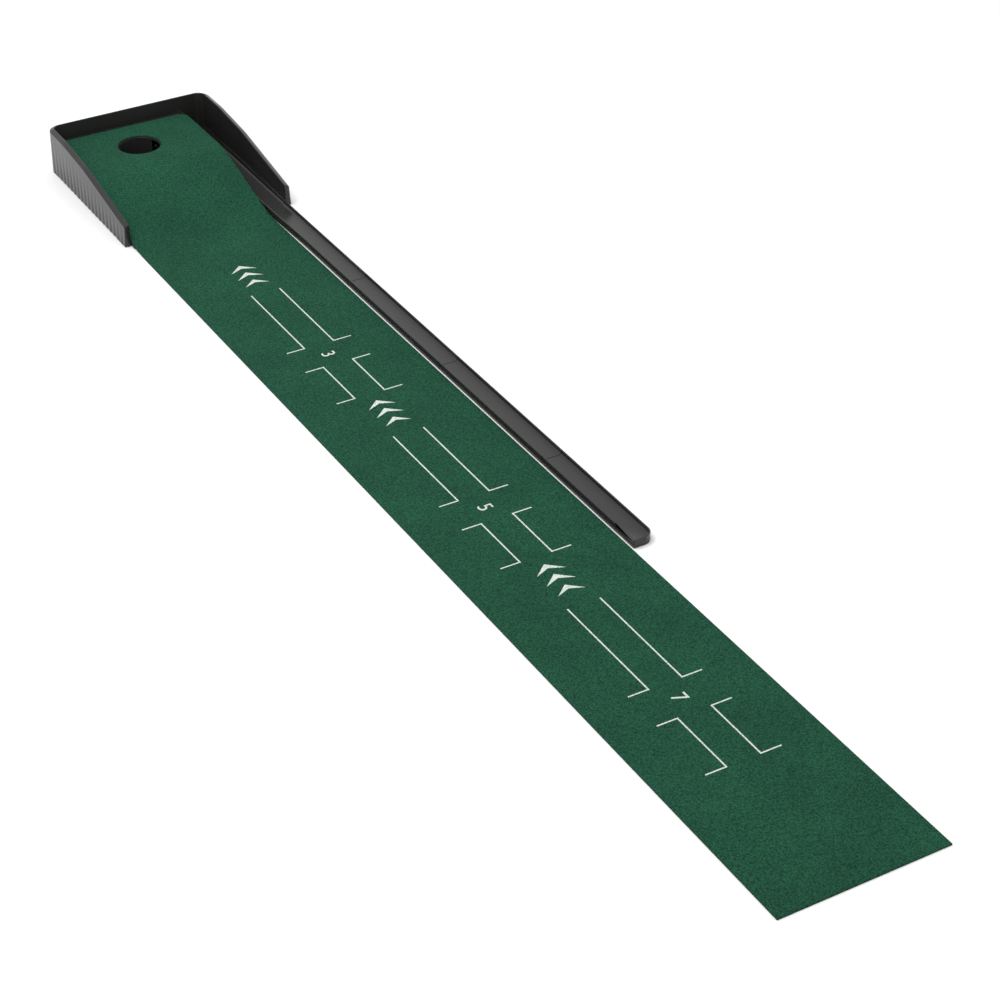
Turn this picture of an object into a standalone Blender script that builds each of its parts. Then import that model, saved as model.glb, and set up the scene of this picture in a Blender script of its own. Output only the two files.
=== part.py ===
"""Practice putting mat with a gravity ball return.

One turf strip runs over a ramp housing with a cup. A ball that drops into the cup rolls through a
chute and a side channel into a track of four sections, and leaves at the open side of the nose.
Metres, +Z up. +Y is the putting direction and +X points to the return track. The origin is on the
floor, on the strip's centre line, at the middle distance mark.
"""
import math

import bmesh
import bpy

# Clearances between pieces that touch.
GAP = 0.0003
JOINT_GAP = 0.0008
STRIP_ROOM = 0.0009

# Turf strip.
MAT_WIDTH = 0.3048
MAT_LENGTH = 2.715
MAT_REAR_SETBACK = 0.016
BACKING_THICKNESS = 0.0012
PILE_THICKNESS = 0.0024
MAT_CORNER_RADIUS = 0.024

# Ramp: the slope grows over the toe, holds along the run and fades over the crest.
TOE_BLEND = 0.090
RAMP_RUN = 0.140
CREST_BLEND = 0.080
PLATEAU_LENGTH = 0.188
RAMP_SLOPE = 0.29

# Hook strips that hold the turf strip on the deck.
HOOK_THICKNESS = 0.0004
HOOK_DEPTH = 0.020
HOOK_END_MARGIN = 0.020
HOOK_FRONT_OFFSET = 0.150
HOOK_REAR_SETBACK = 0.038

# Surround wall, a double skin that is open underneath.
HOUSING_FRONT_Y = 1.2215
HOUSING_LENGTH = 0.4265
SIDE_CLEARANCE = 0.0012
SKIN = 0.0025
RIM_WIDTH = 0.0030
RIM_CHAMFER = 0.0008
SHOULDER_WIDTH = 0.0080
SHOULDER_DROP = 0.0045
WALL_DRAFT = 0.0025
INNER_CORNER_RADIUS = 0.018
WALL_FOOT_Z = 0.0020
FRONT_RIM_Z = 0.049
KINK_SETBACK = 0.208
KINK_RIM_Z = 0.090
REAR_RIM_SETBACK = 0.088
REAR_RIM_Z = 0.101

# Deck.
DECK_FRONT_OFFSET = 0.055
DECK_THICKNESS = 0.0025
SKIRT_FOOT_Z = 0.0053

# Cup and chute.
CUP_SETBACK = 0.118
CUP_BORE = 0.092
HOLE_MARGIN = 0.0010
CUP_WALL = 0.0020
CUP_CLEARANCE = 0.0006
PORT_WIDTH = 0.050
PORT_LINTEL = 0.0028
PAN_MARGIN = 0.005
PAN_RIM = 0.010
CHUTE_WALL = 0.0020
CHUTE_BASE_Z = 0.0105
CHUTE_HIGH_Z = 0.0175
CHUTE_LOW_Z = 0.0135
TUNNEL_DROP = 0.004

# Side channel and return track.
TRACK_STANDOFF = 0.0046
TRACK_WIDTH = 0.0430
CHANNEL_EXTRA_WIDTH = 0.0045
TRACK_WALL = 0.0030
TRACK_FLOOR_Z = 0.0085
TRACK_FLOOR = 0.0022
TRACK_RIM_Z = 0.0170
TROUGH_FILLET = 0.0060
LEG_DRAFT = 0.0004
SECTION_PITCH = 0.383
SECTION_COUNT = 4
NOSE_LENGTH = 0.3045
NOSE_RADIUS = 0.022
EXIT_LENGTH = 0.058
FLARE = 0.0025
FLARE_LENGTH = 0.170
FLARE_END_OFFSET = 0.0315
CHANNEL_REAR_FLOOR_Z = 0.0140
TONGUE_LENGTH = 0.018
TONGUE_WIDTH = 0.020
TONGUE_THICKNESS = 0.0022
TONGUE_ROOT = 0.012

# Fasteners and feet.
SCREW_HEAD_RADIUS = 0.0035
SCREW_HEAD_HEIGHT = 0.0018
SCREW_RADIUS = 0.0015
SCREW_LENGTH = 0.0090
CHANNEL_SCREW_LENGTH = 0.0048
BOSS_RADIUS = 0.0042
TAB_THICKNESS = 0.0020
TAB_LENGTH = 0.016
TAB_REACH = 0.018
FRONT_TAB_OFFSET = 0.195
REAR_TAB_SETBACK = 0.048
FOOT_LENGTH = 0.024
FOOT_WIDTH = 0.0125

# Placing worked out from the sizes above.
HOUSING_REAR_Y = HOUSING_FRONT_Y + HOUSING_LENGTH
KINK_Y = HOUSING_REAR_Y - KINK_SETBACK
REAR_RIM_Y = HOUSING_REAR_Y - REAR_RIM_SETBACK
CREST_END_Y = HOUSING_REAR_Y - PLATEAU_LENGTH
CREST_START_Y = CREST_END_Y - CREST_BLEND
TOE_END_Y = CREST_START_Y - RAMP_RUN
RAMP_START_Y = TOE_END_Y - TOE_BLEND
DECK_FRONT_Y = RAMP_START_Y + DECK_FRONT_OFFSET
HOLE_Y = HOUSING_REAR_Y - CUP_SETBACK
TAB_YS = (RAMP_START_Y + FRONT_TAB_OFFSET, HOUSING_REAR_Y - REAR_TAB_SETBACK)
MAT_HALF = MAT_WIDTH / 2
MAT_THICKNESS = BACKING_THICKNESS + GAP + PILE_THICKNESS
MAT_REAR_Y = HOUSING_REAR_Y - MAT_REAR_SETBACK
MAT_FRONT_Y = MAT_REAR_Y - MAT_LENGTH
LEFT_FACE_X = -(MAT_HALF + SIDE_CLEARANCE)
DECK_RIGHT_X = MAT_HALF + SIDE_CLEARANCE
CHANNEL_NEAR_X = DECK_RIGHT_X + GAP
CHANNEL_FAR_X = CHANNEL_NEAR_X + TRACK_WIDTH + CHANNEL_EXTRA_WIDTH
RIGHT_FACE_X = CHANNEL_FAR_X + GAP
WALL_BASE = RIM_WIDTH + SHOULDER_WIDTH + WALL_DRAFT
TRACK_NEAR_X = MAT_HALF + TRACK_STANDOFF
TRACK_FAR_X = TRACK_NEAR_X + TRACK_WIDTH
TRACK_MIDDLE_X = (TRACK_NEAR_X + TRACK_FAR_X) / 2
NOSE_REAR_Y = HOUSING_FRONT_Y - SECTION_PITCH * (SECTION_COUNT - 1)
NOSE_Y = NOSE_REAR_Y - NOSE_LENGTH
FLARE_END_Y = HOUSING_FRONT_Y - FLARE_END_OFFSET
FLARE_START_Y = FLARE_END_Y - FLARE_LENGTH
TAB_TOP_Z = SKIRT_FOOT_Z - GAP
SCREW_HOLE_RADIUS = SCREW_RADIUS + GAP
CUP_OUTER_RADIUS = CUP_BORE / 2 + CUP_WALL
PAN_HALF = CUP_OUTER_RADIUS + PAN_MARGIN
REACH = 0.05

# Order of the points in a trough's cross-section, which starts at the near wall's foot.
SECTION_POINTS = 26
FLOOR_START = 11
FAR_FOOT = 21


def smooth(value):
    """Ease from 0 to 1 with level ends."""
    value = min(max(value, 0.0), 1.0)
    return value * value * (3 - 2 * value)


def rise(y):
    """Height of the turf strip's underside above the floor."""
    toe = min(max(y - RAMP_START_Y, 0.0), TOE_BLEND)
    run = min(max(y - TOE_END_Y, 0.0), RAMP_RUN)
    crest = min(max(y - CREST_START_Y, 0.0), CREST_BLEND)
    toe_rise = toe * toe / (2 * TOE_BLEND)
    crest_rise = crest - crest * crest / (2 * CREST_BLEND)
    return RAMP_SLOPE * (toe_rise + run + crest_rise)


def deck_top(y):
    return rise(y) - STRIP_ROOM


PLATEAU_DECK_Z = deck_top(CREST_END_Y)
DECK_UNDERSIDE_Z = PLATEAU_DECK_Z - DECK_THICKNESS
PORT_TOP_Z = DECK_UNDERSIDE_Z - PORT_LINTEL
TUNNEL_TOP_Z = PORT_TOP_Z - TUNNEL_DROP


def rim_height(y):
    """Height of the surround wall's rim: level at the rear, then down to the front."""
    if y >= REAR_RIM_Y:
        return REAR_RIM_Z
    if y >= KINK_Y:
        share = (y - KINK_Y) / (REAR_RIM_Y - KINK_Y)
        return KINK_RIM_Z + (REAR_RIM_Z - KINK_RIM_Z) * share
    share = (y - HOUSING_FRONT_Y) / (KINK_Y - HOUSING_FRONT_Y)
    return FRONT_RIM_Z + (KINK_RIM_Z - FRONT_RIM_Z) * share


def channel_floor(y):
    share = (y - HOUSING_FRONT_Y) / HOUSING_LENGTH
    return TRACK_FLOOR_Z + (CHANNEL_REAR_FLOOR_Z - TRACK_FLOOR_Z) * share


def chute_floor(x):
    share = (x + PAN_HALF) / (CHANNEL_NEAR_X + TRACK_WALL + PAN_HALF)
    return CHUTE_HIGH_Z + (CHUTE_LOW_Z - CHUTE_HIGH_Z) * share


def spread(first, last, count):
    return [first + (last - first) * index / count for index in range(count + 1)]


def arc(centre_x, centre_y, radius, start, stop, count):
    """Points on an arc; the angles are in degrees."""
    angles = [math.radians(angle) for angle in spread(start, stop, count)]
    return [(centre_x + radius * math.cos(angle), centre_y + radius * math.sin(angle)) for angle in angles]


def material(name, colour, roughness, metallic=0.0):
    made = bpy.data.materials.new(name)
    made.use_nodes = True
    shader = made.node_tree.nodes["Principled BSDF"]
    shader.inputs["Base Color"].default_value = (*colour, 1.0)
    shader.inputs["Roughness"].default_value = roughness
    shader.inputs["Metallic"].default_value = metallic
    return made


def finish(name, bm, look):
    """Turn a bmesh into a named object of flat triangles whose faces point out."""
    bmesh.ops.triangulate(bm, faces=bm.faces)
    bmesh.ops.recalc_face_normals(bm, faces=bm.faces)
    mesh = bpy.data.meshes.new(name)
    bm.to_mesh(mesh)
    bm.free()
    made = bpy.data.objects.new(name, mesh)
    bpy.context.scene.collection.objects.link(made)
    if look is not None:
        mesh.materials.append(look)
    mesh.shade_smooth()
    mesh.set_sharp_from_angle(angle=math.radians(35))
    return made


def combine(target, tool, operation):
    """Cut the tool from the target, or join it on; the tool itself is only a guide."""
    tool.hide_render = True
    tool.display_type = "WIRE"
    step = target.modifiers.new(tool.name, "BOOLEAN")
    step.operation = operation
    step.solver = "EXACT"
    step.object = tool


def cut(target, *tools):
    for tool in tools:
        combine(target, tool, "DIFFERENCE")


def add(target, *tools):
    for tool in tools:
        combine(target, tool, "UNION")


def skin_faces(bm, rings, closed):
    """Quads between neighbouring rings, each ring an open or a closed run of points."""
    last = len(rings[0]) if closed else len(rings[0]) - 1
    for ring, following in zip(rings, rings[1:]):
        for index in range(last):
            step = (index + 1) % len(ring)
            bm.faces.new((ring[index], ring[step], following[step], following[index]))


def loft(name, sections, look=None):
    """One closed solid through section loops that have the same number of points."""
    bm = bmesh.new()
    rings = [[bm.verts.new(point) for point in section] for section in sections]
    skin_faces(bm, rings, True)
    bm.faces.new(rings[0])
    bm.faces.new(rings[-1])
    return finish(name, bm, look)


def prism(name, outline, low, high, look=None):
    """A plan outline of (x, y) points, extruded from one height to another."""
    return loft(name, [[(x, y, z) for x, y in outline] for z in (low, high)], look)


def block(name, xs, ys, zs, look=None):
    corners = [(xs[0], ys[0]), (xs[1], ys[0]), (xs[1], ys[1]), (xs[0], ys[1])]
    return prism(name, corners, zs[0], zs[1], look)


def cylinder(name, x, y, radius, zs, look=None, count=64):
    outline = arc(x, y, radius, 0, 360, count)[:-1]
    return prism(name, outline, zs[0], zs[1], look)


def tube(name, x, y, radii, zs, look=None, count=64):
    """A round sleeve, closed around its axis; radii are the bore's and the outside's."""
    bm = bmesh.new()
    rings = []
    for index in range(count):
        angle = 2 * math.pi * index / count
        across = (math.cos(angle), math.sin(angle))
        profile = [(radii[0], zs[0]), (radii[1], zs[0]), (radii[1], zs[1]), (radii[0], zs[1])]
        rings.append([bm.verts.new((x + across[0] * r, y + across[1] * r, z)) for r, z in profile])
    skin_faces(bm, rings + rings[:1], True)
    return finish(name, bm, look)


def mat_layer(name, low, high, look):
    """One layer of the turf strip, from its height above the strip's underside."""
    ys = [MAT_FRONT_Y, RAMP_START_Y]
    ys += spread(RAMP_START_Y, TOE_END_Y, 8)[1:]
    ys += spread(CREST_START_Y, CREST_END_Y, 8)
    ys += [MAT_REAR_Y]
    sections = []
    for y in ys:
        base = rise(y)
        sections.append([
            (-MAT_HALF, y, base + low),
            (MAT_HALF, y, base + low),
            (MAT_HALF, y, base + high),
            (-MAT_HALF, y, base + high),
        ])
    layer = loft(name, sections, look)
    top = rise(MAT_REAR_Y)
    heights = (top - REACH, top + REACH)
    cut(layer, cylinder(name + "_hole", 0, HOLE_Y, CUP_BORE / 2 + HOLE_MARGIN, heights))
    for side, start in ((-1, 180), (1, 0)):
        centre_x = side * (MAT_HALF - MAT_CORNER_RADIUS)
        centre_y = MAT_REAR_Y - MAT_CORNER_RADIUS
        stop = 90
        outline = arc(centre_x, centre_y, MAT_CORNER_RADIUS, start, stop, 8)
        outer_x = side * (MAT_HALF + REACH)
        outline += [(centre_x, MAT_REAR_Y + REACH), (outer_x, MAT_REAR_Y + REACH), (outer_x, centre_y)]
        cut(layer, prism(f"{name}_corner_{start}", outline, *heights))
    return layer


def hook_strip(name, y, look):
    """A thin strip bonded to the deck, under the turf strip."""
    half = MAT_HALF - HOOK_END_MARGIN
    sections = []
    for station in spread(y - HOOK_DEPTH / 2, y + HOOK_DEPTH / 2, 4):
        low = deck_top(station) + GAP
        high = low + HOOK_THICKNESS
        sections.append([
            (-half, station, low),
            (half, station, low),
            (half, station, high),
            (-half, station, high),
        ])
    return loft(name, sections, look)


def wall_plan():
    """Plan points on the surround wall's inner face, each with its outward direction."""
    radius = INNER_CORNER_RADIUS
    corner_y = HOUSING_REAR_Y - radius
    ys = [HOUSING_FRONT_Y, KINK_Y, REAR_RIM_Y]
    plan = [((LEFT_FACE_X, y), (-1.0, 0.0)) for y in ys]
    for centre_x, start, stop in ((LEFT_FACE_X + radius, 180, 90), (RIGHT_FACE_X - radius, 90, 0)):
        for angle in spread(start, stop, 8):
            out = (math.cos(math.radians(angle)), math.sin(math.radians(angle)))
            plan.append(((centre_x + radius * out[0], corner_y + radius * out[1]), out))
    plan += [((RIGHT_FACE_X, y), (1.0, 0.0)) for y in reversed(ys)]
    return plan


def wall_section(place, out):
    """The wall's outer shape in section: rim, sloping shoulder and drafted outer skin."""
    rim = rim_height(place[1])
    profile = [
        (0.0, WALL_FOOT_Z),
        (0.0, rim - RIM_CHAMFER),
        (RIM_CHAMFER, rim),
        (RIM_WIDTH, rim),
        (RIM_WIDTH + SHOULDER_WIDTH, rim - SHOULDER_DROP),
        (WALL_BASE, WALL_FOOT_Z),
    ]
    return [(place[0] + out[0] * d, place[1] + out[1] * d, z) for d, z in profile]


def wall_hollow(place, out):
    """The space between the wall's skins in section, open at the foot."""
    rim = rim_height(place[1])
    shoulder = RIM_WIDTH + SHOULDER_WIDTH
    inside_y = max(place[1], HOUSING_FRONT_Y + SKIN)
    profile = [
        (SKIN, WALL_FOOT_Z),
        (SKIN, rim - SKIN - RIM_CHAMFER),
        (shoulder - SKIN, rim - SHOULDER_DROP - SKIN),
        (WALL_BASE - SKIN, WALL_FOOT_Z),
    ]
    return [(place[0] + out[0] * d, inside_y + out[1] * d, z) for d, z in profile]


def wall_shell(look):
    """Both skins of the wall and the foot between them, closed at the two front ends."""
    plan = wall_plan()
    bm = bmesh.new()
    outer = [[bm.verts.new(point) for point in wall_section(place, out)] for place, out in plan]
    inner = [[bm.verts.new(point) for point in wall_hollow(place, out)] for place, out in plan]
    skin_faces(bm, outer, False)
    skin_faces(bm, inner, False)
    skin_faces(bm, [[whole[0], hollow[0]] for whole, hollow in zip(outer, inner)], False)
    skin_faces(bm, [[whole[-1], hollow[-1]] for whole, hollow in zip(outer, inner)], False)
    for end in (0, -1):
        bm.faces.new(outer[end])
        bm.faces.new(inner[end])
        bm.faces.new((outer[end][0], outer[end][-1], inner[end][-1], inner[end][0]))
    return finish("surround_wall", bm, look)


def surround_wall(look):
    wall = wall_shell(look)
    for index, y in enumerate(TAB_YS):
        ys = (y - TAB_LENGTH / 2, y + TAB_LENGTH / 2)
        zs = (TAB_TOP_Z - TAB_THICKNESS, TAB_TOP_Z)
        left = block(f"left_tab_{index}", (LEFT_FACE_X - SKIN / 2, LEFT_FACE_X + TAB_REACH), ys, zs)
        right = block(f"right_tab_{index}", (RIGHT_FACE_X - TAB_REACH, RIGHT_FACE_X + SKIN / 2), ys, zs)
        add(wall, left, right)
        cut(wall, screw_hole(f"left_tab_hole_{index}", LEFT_SCREW_X, y))
        cut(wall, screw_hole(f"right_tab_hole_{index}", RIGHT_SCREW_X, y))
    return wall


def screw_hole(name, x, y):
    """A clearance hole for one screw through a tab or a pan floor."""
    return cylinder(name, x, y, SCREW_HOLE_RADIUS, (0, CHUTE_HIGH_Z + GAP), count=20)


def boss(name, x, y, zs):
    """A hollow post that a screw drives into."""
    return tube(name, x, y, (SCREW_HOLE_RADIUS, BOSS_RADIUS), zs, count=12)


def ramp_deck(look):
    """The ramp and plateau under the turf strip, with skirts, cup hole, ball port and bosses."""
    ys = spread(DECK_FRONT_Y, TOE_END_Y, 6)
    ys += spread(CREST_START_Y, CREST_END_Y, 8)
    right = DECK_RIGHT_X
    stations = [(y, LEFT_FACE_X + GAP) for y in ys]
    corner_y = HOUSING_REAR_Y - GAP - INNER_CORNER_RADIUS
    corner_x = LEFT_FACE_X + GAP + INNER_CORNER_RADIUS
    stations += [(y, x) for x, y in arc(corner_x, corner_y, INNER_CORNER_RADIUS, 180, 90, 6)]
    sections = []
    for y, left in stations:
        top = deck_top(y)
        under = top - DECK_THICKNESS
        foot = min(SKIRT_FOOT_Z, under - GAP)
        sections.append([
            (left, y, foot),
            (left, y, top),
            (right, y, top),
            (right, y, foot),
            (right - DECK_THICKNESS, y, foot),
            (right - DECK_THICKNESS, y, under),
            (left + DECK_THICKNESS, y, under),
            (left + DECK_THICKNESS, y, foot),
        ])
    deck = loft("ramp_deck", sections, look)
    for index, (x, y) in enumerate(DECK_SCREWS):
        top = min(deck_top(y - BOSS_RADIUS), deck_top(y + BOSS_RADIUS)) - DECK_THICKNESS / 2
        add(deck, boss(f"deck_boss_{index}", x, y, (SKIRT_FOOT_Z, top)))
    for index, (x, y) in enumerate(PAN_SCREWS):
        low = chute_floor(x - BOSS_RADIUS) + GAP
        top = PLATEAU_DECK_Z - DECK_THICKNESS / 2
        add(deck, boss(f"pan_boss_{index}", x, y, (low, top)))
    cup_hole = CUP_OUTER_RADIUS + CUP_CLEARANCE
    hole_zs = (DECK_UNDERSIDE_Z - REACH / 5, PLATEAU_DECK_Z + REACH)
    cut(deck, cylinder("deck_cup_hole", 0, HOLE_Y, cup_hole, hole_zs))
    port_ys = (HOLE_Y - PORT_WIDTH / 2 - CHUTE_WALL - GAP, HOLE_Y + PORT_WIDTH / 2 + CHUTE_WALL + GAP)
    cut(deck, block("deck_port", (right - 2 * DECK_THICKNESS, right + REACH), port_ys, (0, PORT_TOP_Z)))
    return deck


def ball_cup(look):
    """A sleeve that stands in the chute's pan and reaches up into the deck's hole."""
    low = chute_floor(-CUP_OUTER_RADIUS) + GAP
    cup = tube("ball_cup", 0, HOLE_Y, (CUP_BORE / 2, CUP_OUTER_RADIUS), (low, PLATEAU_DECK_Z), look)
    ys = (HOLE_Y - PORT_WIDTH / 2, HOLE_Y + PORT_WIDTH / 2)
    cut(cup, block("cup_window", (0, CUP_OUTER_RADIUS + REACH), ys, (0, PORT_TOP_Z)))
    return cup


def cup_chute(look):
    """A pan under the cup and a tunnel that falls towards the side channel."""
    end_x = CHANNEL_NEAR_X + TRACK_WALL
    tunnel = PORT_WIDTH / 2
    outer = tunnel + CHUTE_WALL
    pan_ys = (HOLE_Y - PAN_HALF, HOLE_Y + PAN_HALF)

    def tray(name, xs, ys, look=None):
        low = CHUTE_BASE_Z
        sections = []
        for x in xs:
            top = chute_floor(x)
            sections.append([(x, ys[0], low), (x, ys[1], low), (x, ys[1], top), (x, ys[0], top)])
        return loft(name, sections, look)

    chute = tray("cup_chute", (-PAN_HALF, PAN_HALF), pan_ys, look)
    add(chute, tray("tunnel_floor", (PAN_HALF - CHUTE_WALL, end_x), (HOLE_Y - outer, HOLE_Y + outer)))
    rim = CHUTE_HIGH_Z + PAN_RIM
    walls = [
        ("pan_left", (-PAN_HALF, -PAN_HALF + CHUTE_WALL), pan_ys, rim),
        ("pan_front", (-PAN_HALF, PAN_HALF), (pan_ys[0], pan_ys[0] + CHUTE_WALL), rim),
        ("pan_rear", (-PAN_HALF, PAN_HALF), (pan_ys[1] - CHUTE_WALL, pan_ys[1]), rim),
        ("pan_right_a", (PAN_HALF - CHUTE_WALL, PAN_HALF), (pan_ys[0], HOLE_Y - tunnel), rim),
        ("pan_right_b", (PAN_HALF - CHUTE_WALL, PAN_HALF), (HOLE_Y + tunnel, pan_ys[1]), rim),
        ("tunnel_front", (PAN_HALF - CHUTE_WALL, end_x), (HOLE_Y - outer, HOLE_Y - tunnel), TUNNEL_TOP_Z),
        ("tunnel_rear", (PAN_HALF - CHUTE_WALL, end_x), (HOLE_Y + tunnel, HOLE_Y + outer), TUNNEL_TOP_Z),
    ]
    for name, xs, ys, top in walls:
        add(chute, block(name, xs, ys, (CHUTE_BASE_Z + CHUTE_WALL / 2, top)))
    for index, (x, y) in enumerate(PAN_SCREWS):
        cut(chute, screw_hole(f"pan_hole_{index}", x, y))
    return chute


def trough_section(y, near, far, floor, rim, foot):
    """An H-shaped cross-section: two walls and a floor with rounded inner corners."""
    wall = TRACK_WALL
    fillet = TROUGH_FILLET
    lip = TRACK_WALL / 4
    profile = [(near, foot), (near, rim - lip), (near + lip, rim)]
    profile += [(near + wall - lip, rim), (near + wall, rim - lip)]
    profile += arc(near + wall + fillet, floor + fillet, fillet, 180, 270, 5)
    profile += arc(far - wall - fillet, floor + fillet, fillet, 270, 360, 5)
    profile += [(far - wall, rim - lip), (far - wall + lip, rim)]
    profile += [(far - lip, rim), (far, rim - lip), (far, foot)]
    under = floor - TRACK_FLOOR
    profile += [(far - wall + LEG_DRAFT, foot), (far - wall - LEG_DRAFT, under)]
    profile += [(near + wall + LEG_DRAFT, under), (near + wall - LEG_DRAFT, foot)]
    return [(x, y, z) for x, z in profile]


def exit_section(section):
    """The same cross-section with its near wall taken down to the floor."""
    lowered = []
    for index, (x, y, z) in enumerate(section[:FLOOR_START]):
        limit = TRACK_FLOOR_Z + GAP * (FLOOR_START - index) / FLOOR_START
        lowered.append((x, y, min(z, limit)))
    return lowered + section[FLOOR_START:]


def side_channel(look):
    """The channel beside the deck, falling from the chute to the front of the housing."""
    depth = TRACK_RIM_Z - TRACK_FLOOR_Z
    sections = []
    for y in (HOUSING_FRONT_Y, HOUSING_REAR_Y - INNER_CORNER_RADIUS):
        floor = channel_floor(y)
        rim = floor + depth
        sections.append(trough_section(y, CHANNEL_NEAR_X, CHANNEL_FAR_X, floor, rim, SKIRT_FOOT_Z))
    channel = loft("side_channel", sections, look)
    entry_ys = (HOLE_Y - PORT_WIDTH / 2 - CHUTE_WALL - GAP, HOLE_Y + PORT_WIDTH / 2 + CHUTE_WALL + GAP)
    wall_xs = (CHANNEL_NEAR_X - REACH, CHANNEL_NEAR_X + TRACK_WALL + GAP)
    fillet_xs = (CHANNEL_NEAR_X - REACH, CHANNEL_NEAR_X + TRACK_WALL + 1.2 * TROUGH_FILLET)
    cut(channel, block("channel_entry", wall_xs, entry_ys, (CHUTE_BASE_Z - 3 * GAP, REACH)))
    cut(channel, block("channel_entry_lip", fillet_xs, entry_ys, (CHUTE_LOW_Z - GAP, REACH)))
    for index, y in enumerate(TAB_YS):
        ys = (y - TAB_LENGTH / 2, y + TAB_LENGTH / 2)
        xs = (CHANNEL_NEAR_X - TAB_REACH, CHANNEL_NEAR_X + TRACK_WALL / 2)
        zs = (TAB_TOP_Z - TAB_THICKNESS + GAP, SKIRT_FOOT_Z + TAB_THICKNESS)
        root_xs = (CHANNEL_NEAR_X + GAP, CHANNEL_NEAR_X + TRACK_WALL - GAP)
        root_ys = (ys[0] + GAP, ys[1] - GAP)
        add(channel, block(f"channel_tab_root_{index}", root_xs, root_ys, zs))
        add(channel, block(f"channel_tab_{index}", xs, ys, (TAB_TOP_Z - TAB_THICKNESS, TAB_TOP_Z)))
        top = channel_floor(y) - TRACK_FLOOR / 2
        add(channel, boss(f"channel_boss_{index}", RIGHT_SCREW_X, y, (SKIRT_FOOT_Z, top)))
        cut(channel, screw_hole(f"channel_tab_hole_{index}", CHANNEL_SCREW_X, y))
    return channel


def near_wall_x(y):
    """The track's near side, which flares out to meet the side channel."""
    share = smooth((y - FLARE_START_Y) / (FLARE_END_Y - FLARE_START_Y))
    return TRACK_NEAR_X - FLARE * share


def add_tongue(section, rear_y):
    """A tongue that slides under the floor of the piece behind."""
    under = TRACK_FLOOR_Z - TRACK_FLOOR
    top = under - GAP
    low = top - TONGUE_THICKNESS
    xs = (TRACK_MIDDLE_X - TONGUE_WIDTH / 2, TRACK_MIDDLE_X + TONGUE_WIDTH / 2)
    ys = (rear_y - TONGUE_ROOT, rear_y + TONGUE_LENGTH)
    root_xs = (xs[0] + GAP, xs[1] - GAP)
    root_ys = (ys[0] + GAP, rear_y - JOINT_GAP)
    add(section, block(section.name + "_tongue", xs, ys, (low, top)))
    add(section, block(section.name + "_root", root_xs, root_ys, (low + GAP, under + TRACK_FLOOR / 2)))


def track_section(index, look):
    rear_y = HOUSING_FRONT_Y - SECTION_PITCH * index - JOINT_GAP
    front_y = HOUSING_FRONT_Y - SECTION_PITCH * (index + 1)
    ys = [rear_y, rear_y - 2 * TONGUE_ROOT, front_y]
    if rear_y > FLARE_START_Y:
        ys = [rear_y] + spread(FLARE_END_Y, FLARE_START_Y, 10) + [front_y]
    sections = [
        trough_section(y, near_wall_x(y), TRACK_FAR_X, TRACK_FLOOR_Z, TRACK_RIM_Z, 0.0) for y in ys
    ]
    section = loft(f"track_section_{index + 1}", sections, look)
    add_tongue(section, rear_y)
    return section


def nose_reach(y, inset):
    """How far the rounded nose reaches in x at a station, at an inset from its outside."""
    radius = NOSE_RADIUS - inset
    ahead = min(max(NOSE_Y + NOSE_RADIUS - y, 0.0), radius)
    return TRACK_FAR_X - NOSE_RADIUS + math.sqrt(radius * radius - ahead * ahead)


def nose_section(y):
    """The trough's cross-section at a station of the nose, with both far faces on their arcs."""
    section = trough_section(y, TRACK_NEAR_X, TRACK_FAR_X, TRACK_FLOOR_Z, TRACK_RIM_Z, 0.0)
    inner = nose_reach(y, TRACK_WALL) - (TRACK_FAR_X - TRACK_WALL)
    outer = nose_reach(y, 0.0) - TRACK_FAR_X
    shifts = [0.0] * FLOOR_START + [inner] * 8 + [outer] * 3 + [inner] * 2 + [0.0] * 2
    return [(x + shift, y, z) for (x, _, z), shift in zip(section, shifts)]


def closed_section(y):
    """A section of the end wall: the trough's number of points on a slightly crowned outline."""
    near = TRACK_NEAR_X
    far = nose_reach(y, 0.0)
    crown = TRACK_WALL / 4

    def bulge(x):
        return math.sin(math.pi * (x - near) / (far - near))

    top = [(x, y, TRACK_RIM_Z - crown + crown * bulge(x)) for x in spread(near, far, FAR_FOOT - 2)]
    bottom = [(x, y, GAP * bulge(x)) for x in spread(far, near, SECTION_POINTS - FAR_FOOT)]
    return [bottom[-1]] + top + bottom[:-1]


def track_nose(look):
    """The last section: an end wall closes the nose, and its side toward the turf is open."""
    rear_y = NOSE_REAR_Y - JOINT_GAP
    wall_y = NOSE_Y + TRACK_WALL
    exit_y = wall_y + EXIT_LENGTH
    sections = [nose_section(y) for y in (rear_y, rear_y - 2 * TONGUE_ROOT, exit_y)]
    arc_start = NOSE_Y + NOSE_RADIUS
    sweep = [arc_start - (arc_start - wall_y) * math.sin(math.radians(angle)) for angle in spread(0, 80, 8)]
    sections += [exit_section(nose_section(y)) for y in [exit_y - GAP] + sweep + [wall_y]]
    sections += [closed_section(y) for y in (wall_y - GAP, wall_y - TRACK_WALL / 2, NOSE_Y + GAP)]
    nose = loft("track_nose", sections, look)
    add_tongue(nose, rear_y)
    return nose


def screw(name, x, y, seat, length, look):
    """A self-tapping screw driven up from below; seat is the face its head bears on."""
    head_top = seat - GAP
    profile = [
        (SCREW_HEAD_RADIUS, head_top - SCREW_HEAD_HEIGHT),
        (SCREW_HEAD_RADIUS, head_top),
        (SCREW_RADIUS, head_top),
        (SCREW_RADIUS, head_top + length - SCREW_RADIUS),
        (SCREW_RADIUS / 3, head_top + length),
    ]
    sections = []
    for radius, z in profile:
        ring = arc(0.0, 0.0, radius, 0, 360, 20)[:-1]
        sections.append([(a, b, z - seat) for a, b in ring])
    made = loft(name, sections, look)
    made.location = (x, y, seat)
    return made


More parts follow.
